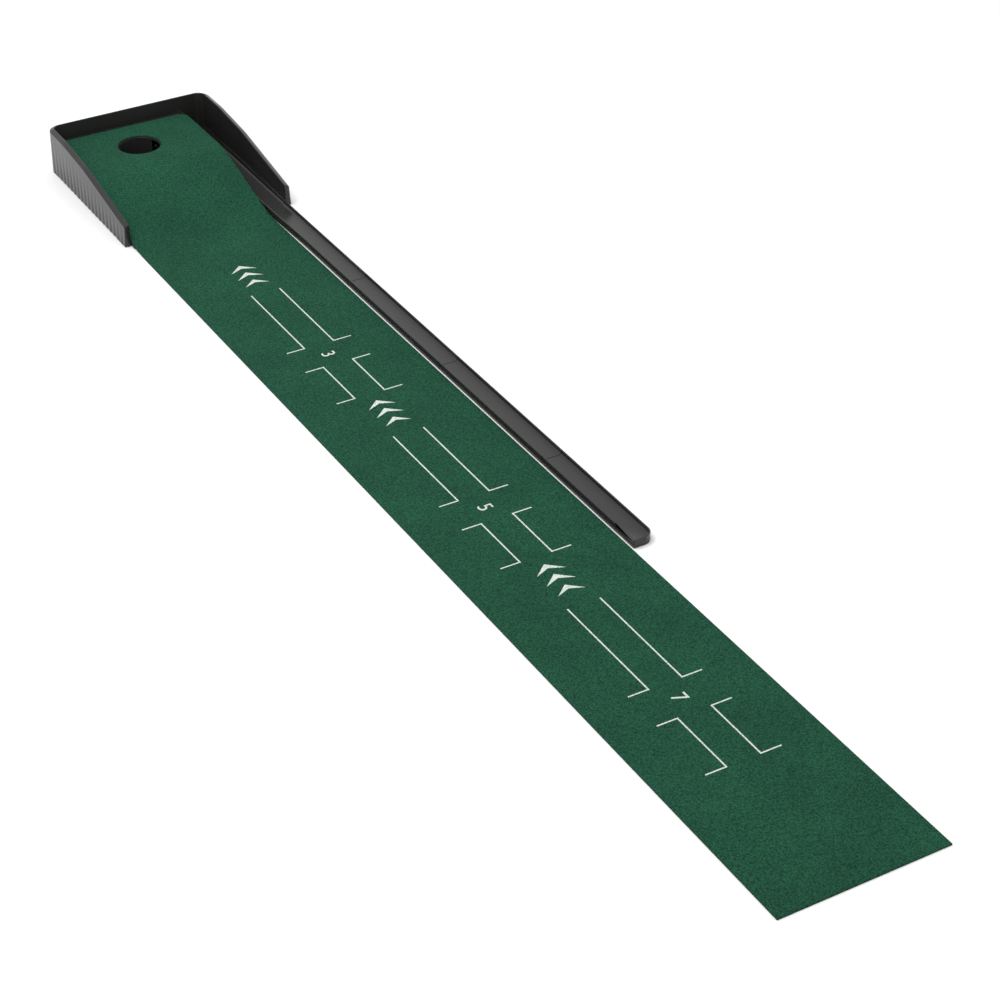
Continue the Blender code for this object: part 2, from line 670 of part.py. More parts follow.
def foot_pad(name, x, y, look):
    xs = (-FOOT_WIDTH / 2, FOOT_WIDTH / 2)
    ys = (-FOOT_LENGTH / 2, FOOT_LENGTH / 2)
    made = block(name, xs, ys, (0.0, WALL_FOOT_Z - GAP), look)
    made.location = (x, y, 0.0)
    return made


LEFT_SCREW_X = LEFT_FACE_X + TAB_REACH / 2 + DECK_THICKNESS / 2
CHANNEL_SCREW_X = CHANNEL_NEAR_X - TAB_REACH / 2 - DECK_THICKNESS / 2
RIGHT_SCREW_X = RIGHT_FACE_X - TAB_REACH / 2 - TRACK_WALL / 2
DECK_SCREWS = [(x, y) for x in (LEFT_SCREW_X, CHANNEL_SCREW_X) for y in TAB_YS]
CHANNEL_SCREWS = [(RIGHT_SCREW_X, y) for y in TAB_YS]
PAN_SCREW_OFFSET = PAN_HALF - CHUTE_WALL - BOSS_RADIUS - GAP
PAN_SCREWS = [(a * PAN_SCREW_OFFSET, HOLE_Y + b * PAN_SCREW_OFFSET) for a in (-1, 1) for b in (-1, 1)]


def build():
    for old in list(bpy.data.objects):
        bpy.data.objects.remove(old, do_unlink=True)
    turf = material("turf", (0.017, 0.10, 0.056), 0.95)
    backing = material("backing", (0.02, 0.02, 0.02), 0.9)
    plastic = material("black_plastic", (0.016, 0.016, 0.016), 0.3)
    cup_plastic = material("cup_plastic", (0.012, 0.012, 0.012), 0.15)
    hook = material("hook_tape", (0.03, 0.03, 0.03), 0.9)
    rubber = material("rubber", (0.02, 0.02, 0.02), 0.8)
    steel = material("screw_steel", (0.5, 0.5, 0.52), 0.35, 1.0)

    mat_layer("mat_backing", 0.0, BACKING_THICKNESS, backing)
    mat_layer("mat_turf", BACKING_THICKNESS + GAP, MAT_THICKNESS, turf)
    hook_strip("hook_strip_front", RAMP_START_Y + HOOK_FRONT_OFFSET, hook)
    hook_strip("hook_strip_rear", HOUSING_REAR_Y - HOOK_REAR_SETBACK, hook)
    surround_wall(plastic)
    ramp_deck(plastic)
    ball_cup(cup_plastic)
    cup_chute(plastic)
    side_channel(plastic)
    for index in range(SECTION_COUNT - 1):
        track_section(index, plastic)
    track_nose(plastic)

    tab_seat = TAB_TOP_Z - TAB_THICKNESS
    for index, (x, y) in enumerate(DECK_SCREWS):
        screw(f"deck_screw_{index + 1}", x, y, tab_seat, SCREW_LENGTH, steel)
    for index, (x, y) in enumerate(CHANNEL_SCREWS):
        screw(f"channel_screw_{index + 1}", x, y, tab_seat, CHANNEL_SCREW_LENGTH, steel)
    for index, (x, y) in enumerate(PAN_SCREWS):
        screw(f"chute_screw_{index + 1}", x, y, CHUTE_BASE_Z, SCREW_LENGTH, steel)

    left_x = LEFT_FACE_X - WALL_BASE / 2
    right_x = RIGHT_FACE_X + WALL_BASE / 2
    front_y = HOUSING_FRONT_Y + FOOT_LENGTH
    rear_y = HOUSING_REAR_Y - FOOT_LENGTH
    feet = {
        "foot_front_left": (left_x, front_y),
        "foot_front_right": (right_x, front_y),
        "foot_rear_left": (left_x, rear_y),
        "foot_rear_right": (right_x, rear_y),
    }
    for name, (x, y) in feet.items():
        foot_pad(name, x, y, rubber)


build()
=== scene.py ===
"""The finished look of a practice putting mat, built around its fixed frame.

Metres, +Z up. +Y is the putting direction and +X points to the return track. The origin is on the
floor, on the turf strip's centre line, at the middle distance mark.
"""
import math

import bmesh
import bpy
from bpy.props import FloatProperty, FloatVectorProperty, IntProperty, PointerProperty
from mathutils import Matrix, Vector
from mathutils.geometry import delaunay_2d_cdt


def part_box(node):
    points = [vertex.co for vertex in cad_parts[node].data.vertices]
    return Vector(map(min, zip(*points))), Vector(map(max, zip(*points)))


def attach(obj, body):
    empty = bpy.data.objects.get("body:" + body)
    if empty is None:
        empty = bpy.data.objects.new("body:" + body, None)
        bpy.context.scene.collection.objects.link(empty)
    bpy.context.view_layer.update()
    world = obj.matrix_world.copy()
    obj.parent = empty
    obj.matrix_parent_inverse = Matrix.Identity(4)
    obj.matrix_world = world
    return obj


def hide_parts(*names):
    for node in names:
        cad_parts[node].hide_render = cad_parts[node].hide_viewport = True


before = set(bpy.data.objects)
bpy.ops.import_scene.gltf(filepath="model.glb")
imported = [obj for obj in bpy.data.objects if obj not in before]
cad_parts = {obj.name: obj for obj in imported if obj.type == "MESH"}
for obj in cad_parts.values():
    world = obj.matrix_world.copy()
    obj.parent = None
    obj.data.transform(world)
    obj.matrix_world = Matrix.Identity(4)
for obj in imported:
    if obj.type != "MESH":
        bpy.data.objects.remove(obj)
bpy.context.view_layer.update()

bl_info = {
    "name": "Practice Putting Mat",
    "version": (1, 0, 0),
    "blender": (4, 5, 0),
    "location": "3D View > Sidebar > Putting Mat",
    "description": "Builds the finished pieces of a practice putting mat around its frame",
    "category": "Object",
}

# Places taken from the frame's own nodes.
TURF_LOW, TURF_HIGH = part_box("mat_turf")
WALL_LOW, WALL_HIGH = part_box("surround_wall")
CUP_LOW, CUP_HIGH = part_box("ball_cup")

# The ramp under the strip: slope grows over the toe, holds along the run, fades over the crest.
TOE_BLEND = 0.090
RAMP_RUN = 0.140
CREST_BLEND = 0.080
PLATEAU_LENGTH = 0.188
RAMP_SLOPE = 0.29

# Layers of the turf strip, by their height over its underside.
BACKING_TOP = 0.0012
TURF_BASE = 0.0015
TURF_TOP = 0.0039
STRIP_CORNER_RADIUS = 0.024
HOLE_RADIUS = 0.047
HOLE_STEPS = 72

# How a layer's upper edge rolls over: rings inside the edge, and how far each one drops.
EDGE_INSETS = (0.0, 0.0007, 0.0020)
FELT_EDGE_DROPS = (0.0011, 0.0003, 0.0)
BACKING_EDGE_DROPS = (0.0003, 0.0, 0.0)
STRIP_SHARP_ANGLE = math.radians(50)

# The tufts: a tuft's own sizes are shares of its height, and its turns are in radians.
PILE_EDGE_INSET = 0.0008
PILE_SINK = 0.0007
TUFT_WIDTH_SHARE = 0.34
TUFT_ROOT_SHARE = 0.4
TUFT_LEAN_SHARE = 0.9
TUFT_TURN_LOW = (-0.55, -0.55, 0.0)
TUFT_TURN_HIGH = (0.55, 0.35, 6.28)
TUFT_TURN_SEED = 11
TUFT_SIZE_RANGE = (0.65, 1.25)
TUFT_SIZE_SEED = 23

# The printed marks: ink over and under the felt's surface, and the arrowheads of one station, each
# with its tip's distance from the number, half width, depth and waist.
STATION_COUNT = 3
INK_RAISE = 0.00035
INK_SINK = 0.0004
ARROWHEADS = (
    (0.411, 0.028, 0.025, 0.013),
    (0.379, 0.028, 0.025, 0.013),
    (0.344, 0.026, 0.023, 0.012),
)

# Section of the surround wall, outward from its inner face.
WALL_BASE = 0.0135
WALL_FOOT_Z = 0.0020
RIM_WIDTH = 0.0030
SHOULDER_WIDTH = 0.0080
SHOULDER_DROP = 0.0045
WALL_SKIN = 0.0025
INNER_CORNER_RADIUS = 0.018
KINK_SETBACK = 0.208
LEVEL_RIM_SETBACK = 0.088
KINK_RIM_Z = 0.090
FRONT_RIM_Z = 0.049
RIM_EASE = 0.012
RIM_EASE_STEPS = 8
RIM_EDGE_RADIUS = 0.0009
END_EDGE_RADIUS = 0.0008
CORNER_STEPS = 14

# The grooves in the wall's outer face: how they start under the shoulder and deepen to the foot.
STEPS_PER_FLUTE = 8
FLUTE_SHARPNESS = 3
FLUTE_TOP_DROP = 0.002
FLUTE_FADE = 0.3
FLUTE_FALLOFF = 0.8
FLUTE_ROWS = 7

INNER_LEFT_X = WALL_LOW.x + WALL_BASE
INNER_RIGHT_X = WALL_HIGH.x - WALL_BASE
INNER_REAR_Y = WALL_HIGH.y - WALL_BASE
WALL_FRONT_Y = WALL_LOW.y
CREST_END_Y = INNER_REAR_Y - PLATEAU_LENGTH
CREST_START_Y = CREST_END_Y - CREST_BLEND
TOE_END_Y = CREST_START_Y - RAMP_RUN
RAMP_START_Y = TOE_END_Y - TOE_BLEND
CUP_Y = (CUP_LOW.y + CUP_HIGH.y) / 2

# The wall's screw tabs.
TAB_TOP = 0.0050
TAB_THICKNESS = 0.0020
TAB_REACH = 0.018
TAB_HALF_LENGTH = 0.008
TAB_CHAMFER = 0.0003
TAB_YS = (RAMP_START_Y + 0.195, INNER_REAR_Y - 0.048)

# Rounding of the mouldings that follow the frame.
FLAT_ANGLE = math.radians(0.5)
ROUNDED_ANGLE = math.radians(40)
ROOM_PER_RADIUS = 2.4
ROOM_MARGIN = 0.25

# Screws: shares of the head's radius and of its height, from the head's face to the seat.
SCREW_STEPS = 24
SCREW_HEAD_PROFILE = ((0.45, 1.0), (0.8, 0.86), (1.0, 0.45), (1.0, 0.0))
RECESS_ARM_SHARE = 0.52
RECESS_WIDTH_SHARE = 0.13
RECESS_FLOOR_SHARE = 0.45
RECESS_ROOM_SHARE = 1.5
DECK_SCREW_LENGTH = 0.0090
CHANNEL_SCREW_LENGTH = 0.0048

# Hook tape: the deck's surface and the tape's seat, under the strip's underside, and one hook's
# path as shares of the pitch along the tape and heights over it.
DECK_TOP_BELOW = 0.0009
SEAT_GAP = 0.0003
TAPE_THICKNESS = 0.00018
TAPE_INSET = 0.0006
TAPE_STEPS = 6
HOOK_RADIUS_SHARE = 0.06
HOOK_PATH = ((0.0, 0.0), (0.0, 0.00028), (0.10, 0.00042), (0.24, 0.00036), (0.28, 0.00024))

# Looks: how much of the dust shows and how light it is, and the depth of each finish's bump.
DUST_SHARE = 0.22
DUST_LIFT = 2.4
GRAIN_DEPTH = 0.00004
PLATING_DEPTH = 0.00003
FIBRE_DEPTH = 0.0006
INK_DEPTH = 0.0004

# The studio; angles in radians.
FLOOR_REACH = 14.0
KEY_LIGHT_PLACE = (-1.2, 0.9, 3.6)
KEY_LIGHT_TARGET = (0.0, 0.8, 0.0)
KEY_LIGHT_SIZE = 2.4
CAMERA_PLACE = (-1.66441, -2.98851, 2.31516)
CAMERA_HEADING = 0.50155
CAMERA_DIP = 0.5917
CAMERA_ROLL = -0.01729
CAMERA_SHIFT = (0.0279, 0.0014)
SENSOR_WIDTH = 36.0
VIEW_RANGE = (0.05, 60.0)

MERGE_DISTANCE = 1e-6
PLAN_TOLERANCE = 1e-7
SMOOTH_ANGLE = math.radians(35)


# ---------------------------------------------------------------- settings


class TurfStripSettings(bpy.types.PropertyGroup):
    """Sizes and colours of the turf strip."""

    colour: FloatVectorProperty(
        name="Turf colour", description="Mean colour of the pile", subtype="COLOR",
        size=3, min=0.0, max=1.0, default=(0.0105, 0.062, 0.034),
    )
    backing_colour: FloatVectorProperty(
        name="Backing colour", description="Colour of the foam backing", subtype="COLOR",
        size=3, min=0.0, max=1.0, default=(0.020, 0.022, 0.021),
    )
    cell: FloatProperty(
        name="Cell", description="Spacing of the strip's mesh across and along",
        unit="LENGTH", min=0.003, max=0.05, default=0.0076,
    )
    pile_density: FloatProperty(
        name="Pile density", description="Tufts on each square metre",
        min=0.0, max=60000.0, default=44000.0,
    )
    pile_height: FloatProperty(
        name="Pile height", description="Height of one tuft over the felt",
        unit="LENGTH", min=0.0002, max=0.004, default=0.0010,
    )
    seed: IntProperty(name="Pile seed", description="Start of the tufts' random order", default=7)


class MarkingSettings(bpy.types.PropertyGroup):
    """Sizes of the printed distance marks."""

    colour: FloatVectorProperty(
        name="Print colour", description="Colour of the printed marks", subtype="COLOR",
        size=3, min=0.0, max=1.0, default=(0.68, 0.72, 0.68),
    )
    spacing: FloatProperty(
        name="Station spacing", description="From one distance mark to the next",
        unit="LENGTH", default=0.6096,
    )
    lane_half_width: FloatProperty(
        name="Lane half width", description="From the centre line to the middle of a lane line",
        unit="LENGTH", default=0.0312,
    )
    line_width: FloatProperty(
        name="Line width", description="Width of a printed line", unit="LENGTH", default=0.0027,
    )
    serif_length: FloatProperty(
        name="Serif length", description="Outward length of a line's cross stroke",
        unit="LENGTH", default=0.0376,
    )
    gap_half_length: FloatProperty(
        name="Gap half length", description="From a number to the lines on either side",
        unit="LENGTH", default=0.0396,
    )
    upper_length: FloatProperty(
        name="Upper line end", description="From a number to the far end of its upper lines",
        unit="LENGTH", default=0.2836,
    )
    lower_length: FloatProperty(
        name="Lower line end", description="From a number to the far end of its lower lines",
        unit="LENGTH", default=0.1741,
    )
    digit_height: FloatProperty(
        name="Digit height", description="Height of a printed number", unit="LENGTH", default=0.027,
    )


class MouldingSettings(bpy.types.PropertyGroup):
    """Finish of the black mouldings."""

    colour: FloatVectorProperty(
        name="Plastic colour", description="Colour of the mouldings", subtype="COLOR",
        size=3, min=0.0, max=1.0, default=(0.0165, 0.0159, 0.0155),
    )
    roughness: FloatProperty(
        name="Roughness", description="Mean roughness of the mouldings", min=0.0, max=1.0, default=0.24,
    )
    edge_radius: FloatProperty(
        name="Edge radius", description="Radius on the mouldings' edges",
        unit="LENGTH", min=0.0, max=0.002, default=0.0007,
    )
    flute_pitch: FloatProperty(
        name="Flute pitch", description="Spacing of the grooves in the wall's outer face",
        unit="LENGTH", min=0.005, max=0.1, default=0.0205,
    )
    flute_depth: FloatProperty(
        name="Flute depth", description="Depth of a groove at the wall's foot",
        unit="LENGTH", min=0.0, max=0.002, default=0.0013,
    )


class FastenerSettings(bpy.types.PropertyGroup):
    """Sizes of the screws and of the hook tape."""

    head_radius: FloatProperty(
        name="Head radius", description="Radius of a screw's head", unit="LENGTH", default=0.0035,
    )
    head_height: FloatProperty(
        name="Head height", description="Height of a screw's head", unit="LENGTH", default=0.0018,
    )
    shank_radius: FloatProperty(
        name="Shank radius", description="Radius of a screw's shank", unit="LENGTH", default=0.0015,
    )
    hook_pitch: FloatProperty(
        name="Hook pitch", description="Spacing of the tape's hooks", unit="LENGTH", default=0.0032,
    )


class StudioSettings(bpy.types.PropertyGroup):
    """Floor, light and camera."""

    floor_colour: FloatVectorProperty(
        name="Floor colour", description="Colour of the floor", subtype="COLOR",
        size=3, min=0.0, max=1.0, default=(0.90, 0.90, 0.90),
    )
    surround_light: FloatProperty(
        name="Surround light", description="Brightness of the even light all round",
        min=0.0, max=10.0, default=0.95,
    )
    key_power: FloatProperty(
        name="Key light", description="Power of the large soft light overhead", unit="POWER",
        min=0.0, max=5000.0, default=70.0,
    )
    focal_length: FloatProperty(
        name="Focal length", description="The camera's focal length in millimetres", default=85.82,
    )


# ---------------------------------------------------------------- shared helpers


def settings(name):
    """One of the scene's groups of settings."""
    return getattr(bpy.context.scene, name)


def clamp(value, low, high):
    return min(max(value, low), high)


def spread(first, last, count):
    """Evenly spaced values from first to last, count steps apart."""
    return [first + (last - first) * index / count for index in range(count + 1)]


def arc(centre, radius, start, stop, count):
    """Points on an arc; the angles are in degrees."""
    angles = [math.radians(angle) for angle in spread(start, stop, count)]
    return [(centre[0] + radius * math.cos(a), centre[1] + radius * math.sin(a)) for a in angles]


def rise(y):
    """Height of the turf strip's underside above the floor."""
    toe = clamp(y - RAMP_START_Y, 0.0, TOE_BLEND)
    run = clamp(y - TOE_END_Y, 0.0, RAMP_RUN)
    crest = clamp(y - CREST_START_Y, 0.0, CREST_BLEND)
    return RAMP_SLOPE * (toe * toe / (2 * TOE_BLEND) + run + crest - crest * crest / (2 * CREST_BLEND))


def add_node(tree, kind, inputs=None, **properties):
    """A node with its properties set and its inputs set or linked."""
    node = tree.nodes.new(kind)
    for key, value in properties.items():
        setattr(node, key, value)
    for key, value in (inputs or {}).items():
        if isinstance(value, bpy.types.NodeSocket):
            tree.links.new(value, node.inputs[key])
        else:
            node.inputs[key].default_value = value
    return node


def new_group(name, kind, inputs, outputs):
    """A node group with its named sockets; inputs are (name, socket type, default)."""
    tree = bpy.data.node_groups.new(name, kind)
    for label, socket_type, default in inputs:
        socket = tree.interface.new_socket(label, in_out="INPUT", socket_type=socket_type)
        if default is not None:
            socket.default_value = default
    for label, socket_type in outputs:
        tree.interface.new_socket(label, in_out="OUTPUT", socket_type=socket_type)
    return tree, tree.nodes.new("NodeGroupInput"), tree.nodes.new("NodeGroupOutput")


def mesh_object(name, mesh, material=None):
    """A mesh as an object in the scene, with one material."""
    made = bpy.data.objects.new(name, mesh)
    bpy.context.scene.collection.objects.link(made)
    if material is not None:
        mesh.materials.clear()
        mesh.materials.append(material)
    return made


def from_bmesh(name, bm, material, angle=SMOOTH_ANGLE):
    """Turn a bmesh into an object with smooth faces and outward normals."""
    bmesh.ops.remove_doubles(bm, verts=bm.verts, dist=MERGE_DISTANCE)
    bmesh.ops.recalc_face_normals(bm, faces=bm.faces)
    mesh = bpy.data.meshes.new(name)
    bm.to_mesh(mesh)
    bm.free()
    mesh.shade_smooth()
    mesh.set_sharp_from_angle(angle=angle)
    return mesh_object(name, mesh, material)


def applied(source, name, material):
    """The evaluated object as a plain mesh object; the source is removed."""
    bpy.context.view_layer.update()
    graph = bpy.context.evaluated_depsgraph_get()
    mesh = bpy.data.meshes.new_from_object(source.evaluated_get(graph), depsgraph=graph)
    bpy.data.objects.remove(source, do_unlink=True)
    made = mesh_object(name, mesh, material)
    mesh.name = name
    return made


def with_nodes(source, tree, values, name, material):
    """Run a geometry tree on an object and keep its result as a plain mesh."""
    step = source.modifiers.new(tree.name, "NODES")
    step.node_group = tree
    sockets = {s.name: s.identifier for s in tree.interface.items_tree if s.in_out == "INPUT"}
    for key, value in values.items():
        step[sockets[key]] = value
    return applied(source, name, material)


def fit(piece, body, nodes):
    """Let a finished piece ride on its body and stand for its nodes."""
    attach(piece, body)
    if nodes:
        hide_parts(*nodes)


def add_loop(bm, points):
    """New vertices at these points."""
    return [bm.verts.new(point) for point in points]


def bridge(bm, rings):
    """Quads between neighbouring rings of the same number of points."""
    count = len(rings[0])
    for ring, following in zip(rings, rings[1:]):
        for index in range(count):
            step = (index + 1) % count
            bm.faces.new((ring[index], ring[step], following[step], following[index]))


def closed_tube(bm, rings):
    """A closed skin through the rings, with a face on its first and last one."""
    bridge(bm, rings)
    bm.faces.new(rings[0])
    bm.faces.new(rings[-1])


def add_block(bm, low, high, chamfer):
    """A box with chamfered upright edges and rims."""
    outline = []
    for sx, sy in ((-1, -1), (1, -1), (1, 1), (-1, 1)):
        x = high[0] if sx > 0 else low[0]
        y = high[1] if sy > 0 else low[1]
        along = [(x - sx * chamfer, y), (x, y - sy * chamfer)]
        outline += along if sx * sy > 0 else along[::-1]
    middle = ((low[0] + high[0]) / 2, (low[1] + high[1]) / 2)

    def ring(inset, z):
        points = []
        for x, y in outline:
            dx = math.copysign(inset, middle[0] - x)
            dy = math.copysign(inset, middle[1] - y)
            points.append((x + dx, y + dy, z))
        return add_loop(bm, points)

    closed_tube(bm, [
        ring(chamfer, low[2]),
        ring(0.0, low[2] + chamfer),
        ring(0.0, high[2] - chamfer),
        ring(chamfer, high[2]),
    ])


# ---------------------------------------------------------------- shader groups and materials


def moulded_grain_group():
    """Fine mould grain and slow changes of gloss, shared by the plastics and the rubber."""
    tree, source, result = new_group(
        "Moulded Grain", "ShaderNodeTree",
        [
            ("Roughness", "NodeSocketFloat", 0.3),
            ("Gloss Change", "NodeSocketFloat", 0.06),
            ("Grain Scale", "NodeSocketFloat", 1500.0),
        ],
        [("Roughness", "NodeSocketFloat"), ("Height", "NodeSocketFloat"), ("Dust", "NodeSocketFloat")],
    )
    place = add_node(tree, "ShaderNodeTexCoord").outputs["Object"]
    grain = add_node(
        tree, "ShaderNodeTexNoise",
        {"Vector": place, "Scale": source.outputs["Grain Scale"], "Detail": 2.0},
    )
    slow = add_node(
        tree, "ShaderNodeTexNoise",
        {"Vector": place, "Scale": 22.0, "Detail": 4.0, "Roughness": 0.6},
    )
    centred = add_node(tree, "ShaderNodeMath", {0: slow.outputs["Fac"], 1: 0.5}, operation="SUBTRACT")
    change = add_node(
        tree, "ShaderNodeMath",
        {0: centred.outputs[0], 1: source.outputs["Gloss Change"], 2: source.outputs["Roughness"]},
        operation="MULTIPLY_ADD",
    )
    speck = add_node(
        tree, "ShaderNodeTexNoise",
        {"Vector": place, "Scale": 260.0, "Detail": 3.0, "Roughness": 0.7},
    )
    dust = add_node(
        tree, "ShaderNodeMapRange",
        {"Value": speck.outputs["Fac"], "From Min": 0.62, "From Max": 0.80, "To Min": 0.0, "To Max": 1.0},
    )
    tree.links.new(change.outputs[0], result.inputs["Roughness"])
    tree.links.new(grain.outputs["Fac"], result.inputs["Height"])
    tree.links.new(dust.outputs["Result"], result.inputs["Dust"])
    return tree


def fibre_speckle_group():
    """Speckle of short fibres, shared by the turf, its print, the backing and the hook tape."""
    tree, source, result = new_group(
        "Fibre Speckle", "ShaderNodeTree",
        [("Fibre Scale", "NodeSocketFloat", 700.0), ("Mottle Scale", "NodeSocketFloat", 7.0)],
        [("Fibre", "NodeSocketFloat"), ("Mottle", "NodeSocketFloat"), ("Height", "NodeSocketFloat")],
    )
    place = add_node(tree, "ShaderNodeTexCoord").outputs["Object"]
    fine = add_node(
        tree, "ShaderNodeTexNoise",
        {"Vector": place, "Scale": source.outputs["Fibre Scale"], "Detail": 3.0, "Roughness": 0.7},
    )
    cells = add_node(
        tree, "ShaderNodeTexVoronoi",
        {"Vector": place, "Scale": source.outputs["Fibre Scale"], "Randomness": 1.0},
    )
    sharp = add_node(
        tree, "ShaderNodeMapRange", {"Value": fine.outputs["Fac"], "From Min": 0.28, "From Max": 0.72},
    )
    mottle = add_node(
        tree, "ShaderNodeTexNoise",
        {"Vector": place, "Scale": source.outputs["Mottle Scale"], "Detail": 5.0, "Roughness": 0.62},
    )
    spread_mottle = add_node(
        tree, "ShaderNodeMapRange", {"Value": mottle.outputs["Fac"], "From Min": 0.32, "From Max": 0.68},
    )
    height = add_node(
        tree, "ShaderNodeMath",
        {0: cells.outputs["Distance"], 1: -0.6, 2: fine.outputs["Fac"]},
        operation="MULTIPLY_ADD",
    )
    tree.links.new(sharp.outputs["Result"], result.inputs["Fibre"])
    tree.links.new(spread_mottle.outputs["Result"], result.inputs["Mottle"])
    tree.links.new(height.outputs[0], result.inputs["Height"])
    return tree


def add_shared_group(tree, name, maker, values):
    """A node that holds a shared group, which is built when it is first asked for."""
    group = bpy.data.node_groups.get(name) or maker()
    return add_node(tree, "ShaderNodeGroup", values, node_tree=group)


def add_bump(tree, shader, strength, distance, height):
    """A bump on the shader's normal; the distance is in metres."""
    bump = add_node(tree, "ShaderNodeBump", {"Strength": strength, "Distance": distance, "Height": height})
    tree.links.new(bump.outputs["Normal"], shader.inputs["Normal"])


def new_material(name, constants):
    """A material with its Principled shader; constant values go on the shader's own sockets."""
    made = bpy.data.materials.new(name)
    made.use_nodes = True
    shader = made.node_tree.nodes["Principled BSDF"]
    for key, value in constants.items():
        shader.inputs[key].default_value = value
    return made, made.node_tree, shader


def mixed(tree, factor, first, second):
    """A colour between two others."""
    node = add_node(tree, "ShaderNodeMix", data_type="RGBA")
    for socket, value in ((node.inputs[0], factor), (node.inputs[6], first), (node.inputs[7], second)):
        if isinstance(value, bpy.types.NodeSocket):
            tree.links.new(value, socket)
        else:
            socket.default_value = value
    return node.outputs[2]


def opaque(colour, share=1.0):
    """A colour with its brightness scaled and full alpha."""
    return (*[channel * share for channel in colour], 1.0)


def moulding_material(name, colour, roughness, change, bump):
    """Black moulded plastic or rubber: grain in the gloss, faint dust, a fine bump."""
    made, tree, shader = new_material(name, {"IOR": 1.5, "Specular IOR Level": 0.40})
    grain = add_shared_group(
        tree, "Moulded Grain", moulded_grain_group, {"Roughness": roughness, "Gloss Change": change},
    )
    faint = add_node(tree, "ShaderNodeMath", {0: grain.outputs["Dust"], 1: DUST_SHARE}, operation="MULTIPLY")
    tone = mixed(tree, faint.outputs[0], opaque(colour), opaque(colour, DUST_LIFT))
    tree.links.new(tone, shader.inputs["Base Color"])
    tree.links.new(grain.outputs["Roughness"], shader.inputs["Roughness"])
    add_bump(tree, shader, bump, GRAIN_DEPTH, grain.outputs["Height"])
    return made


def fibre_material(name, colour, fibre_scale, contrast, mottle_share, bump, constants):
    """Felt, foam or print: a mean colour that varies with the fibres and in slow patches."""
    made, tree, shader = new_material(name, constants)
    speckle = add_shared_group(tree, "Fibre Speckle", fibre_speckle_group, {"Fibre Scale": fibre_scale})
    fibres = mixed(
        tree, speckle.outputs["Fibre"], opaque(colour, 1.0 - contrast), opaque(colour, 1.0 + contrast),
    )
    patches = mixed(
        tree, speckle.outputs["Mottle"],
        opaque((1.0 - mottle_share,) * 3), opaque((1.0 + mottle_share,) * 3),
    )
    tone = add_node(tree, "ShaderNodeMix", data_type="RGBA", blend_type="MULTIPLY")
    tone.inputs[0].default_value = 1.0
    tree.links.new(fibres, tone.inputs[6])
    tree.links.new(patches, tone.inputs[7])
    tree.links.new(tone.outputs[2], shader.inputs["Base Color"])
    add_bump(tree, shader, bump, FIBRE_DEPTH, speckle.outputs["Height"])
    return made


def print_material(colour, turf):
    """Printed ink on the pile: off-white, broken up where fibres show through."""
    made, tree, shader = new_material("printed_ink", {"Roughness": 0.85})
    speckle = add_shared_group(tree, "Fibre Speckle", fibre_speckle_group, {"Fibre Scale": 520.0})
    bare = add_node(
        tree, "ShaderNodeMapRange",
        {
            "Value": speckle.outputs["Fibre"],
            "From Min": 0.05, "From Max": 0.62, "To Min": 0.85, "To Max": 0.0,
        },
    )
    tone = mixed(tree, bare.outputs["Result"], opaque(colour), opaque(turf, 1.6))
    tree.links.new(tone, shader.inputs["Base Color"])
    add_bump(tree, shader, 0.5, INK_DEPTH, speckle.outputs["Height"])
    return made


def plated_steel_material():
    """Zinc-plated steel for the screws."""
    made, tree, shader = new_material(
        "plated_steel", {"Base Color": opaque((0.50, 0.50, 0.52)), "Metallic": 1.0},
    )
    grain = add_shared_group(
        tree, "Moulded Grain", moulded_grain_group, {"Roughness": 0.34, "Gloss Change": 0.15},
    )
    tree.links.new(grain.outputs["Roughness"], shader.inputs["Roughness"])
    add_bump(tree, shader, 0.3, PLATING_DEPTH, grain.outputs["Height"])
    return made


def look(name):
    """A finished material by name, made when it is first asked for."""
    found = bpy.data.materials.get(name)
    if found:
        return found
    plastic = settings("putting_moulding")
    turf = settings("putting_turf")
    marks = settings("putting_marks")
    makers = {
        "moulded_black": lambda: moulding_material(
            name, plastic.colour, roughness=plastic.roughness, change=0.10, bump=0.35,
        ),
        # The cup's black is lighter than the other mouldings' black as painted fill light for its deep,
        # shaded inside; its higher gloss is its own finish.
        "polished_black_painted_fill": lambda: moulding_material(
            name, (0.022, 0.021, 0.021), roughness=0.16, change=0.06, bump=0.15,
        ),
        "foot_rubber": lambda: moulding_material(
            name, (0.02, 0.02, 0.02), roughness=0.78, change=0.12, bump=0.8,
        ),
        "green_felt": lambda: fibre_material(
            name, turf.colour, fibre_scale=330.0, contrast=0.80, mottle_share=0.12, bump=0.9,
            constants={"Roughness": 0.95, "Specular IOR Level": 0.12},
        ),
        "foam_backing": lambda: fibre_material(
            name, turf.backing_colour, fibre_scale=900.0, contrast=0.30, mottle_share=0.08, bump=0.6,
            constants={"Roughness": 0.9},
        ),
        "hook_tape": lambda: fibre_material(
            name, (0.03, 0.03, 0.03), fibre_scale=1500.0, contrast=0.3, mottle_share=0.05, bump=0.4,
            constants={"Roughness": 0.6},
        ),
        "printed_ink": lambda: print_material(marks.colour, turf.colour),
        "plated_steel": plated_steel_material,
    }
    return makers[name]()


# ---------------------------------------------------------------- geometry trees


def open_tree(name, inputs):
    """A geometry tree that takes geometry, its own inputs and a material."""
    first = ("Geometry", "NodeSocketGeometry", None)
    last = ("Material", "NodeSocketMaterial", None)
    return new_group(name, "GeometryNodeTree", [first, *inputs, last], [("Geometry", "NodeSocketGeometry")])


def close_tree(tree, source, result, instances):
    """End a tree in real geometry with its material set."""
    real = add_node(tree, "GeometryNodeRealizeInstances", {"Geometry": instances})
    coated = add_node(
        tree, "GeometryNodeSetMaterial",
        {"Geometry": real.outputs["Geometry"], "Material": source.outputs["Material"]},
    )
    tree.links.new(coated.outputs["Geometry"], result.inputs["Geometry"])


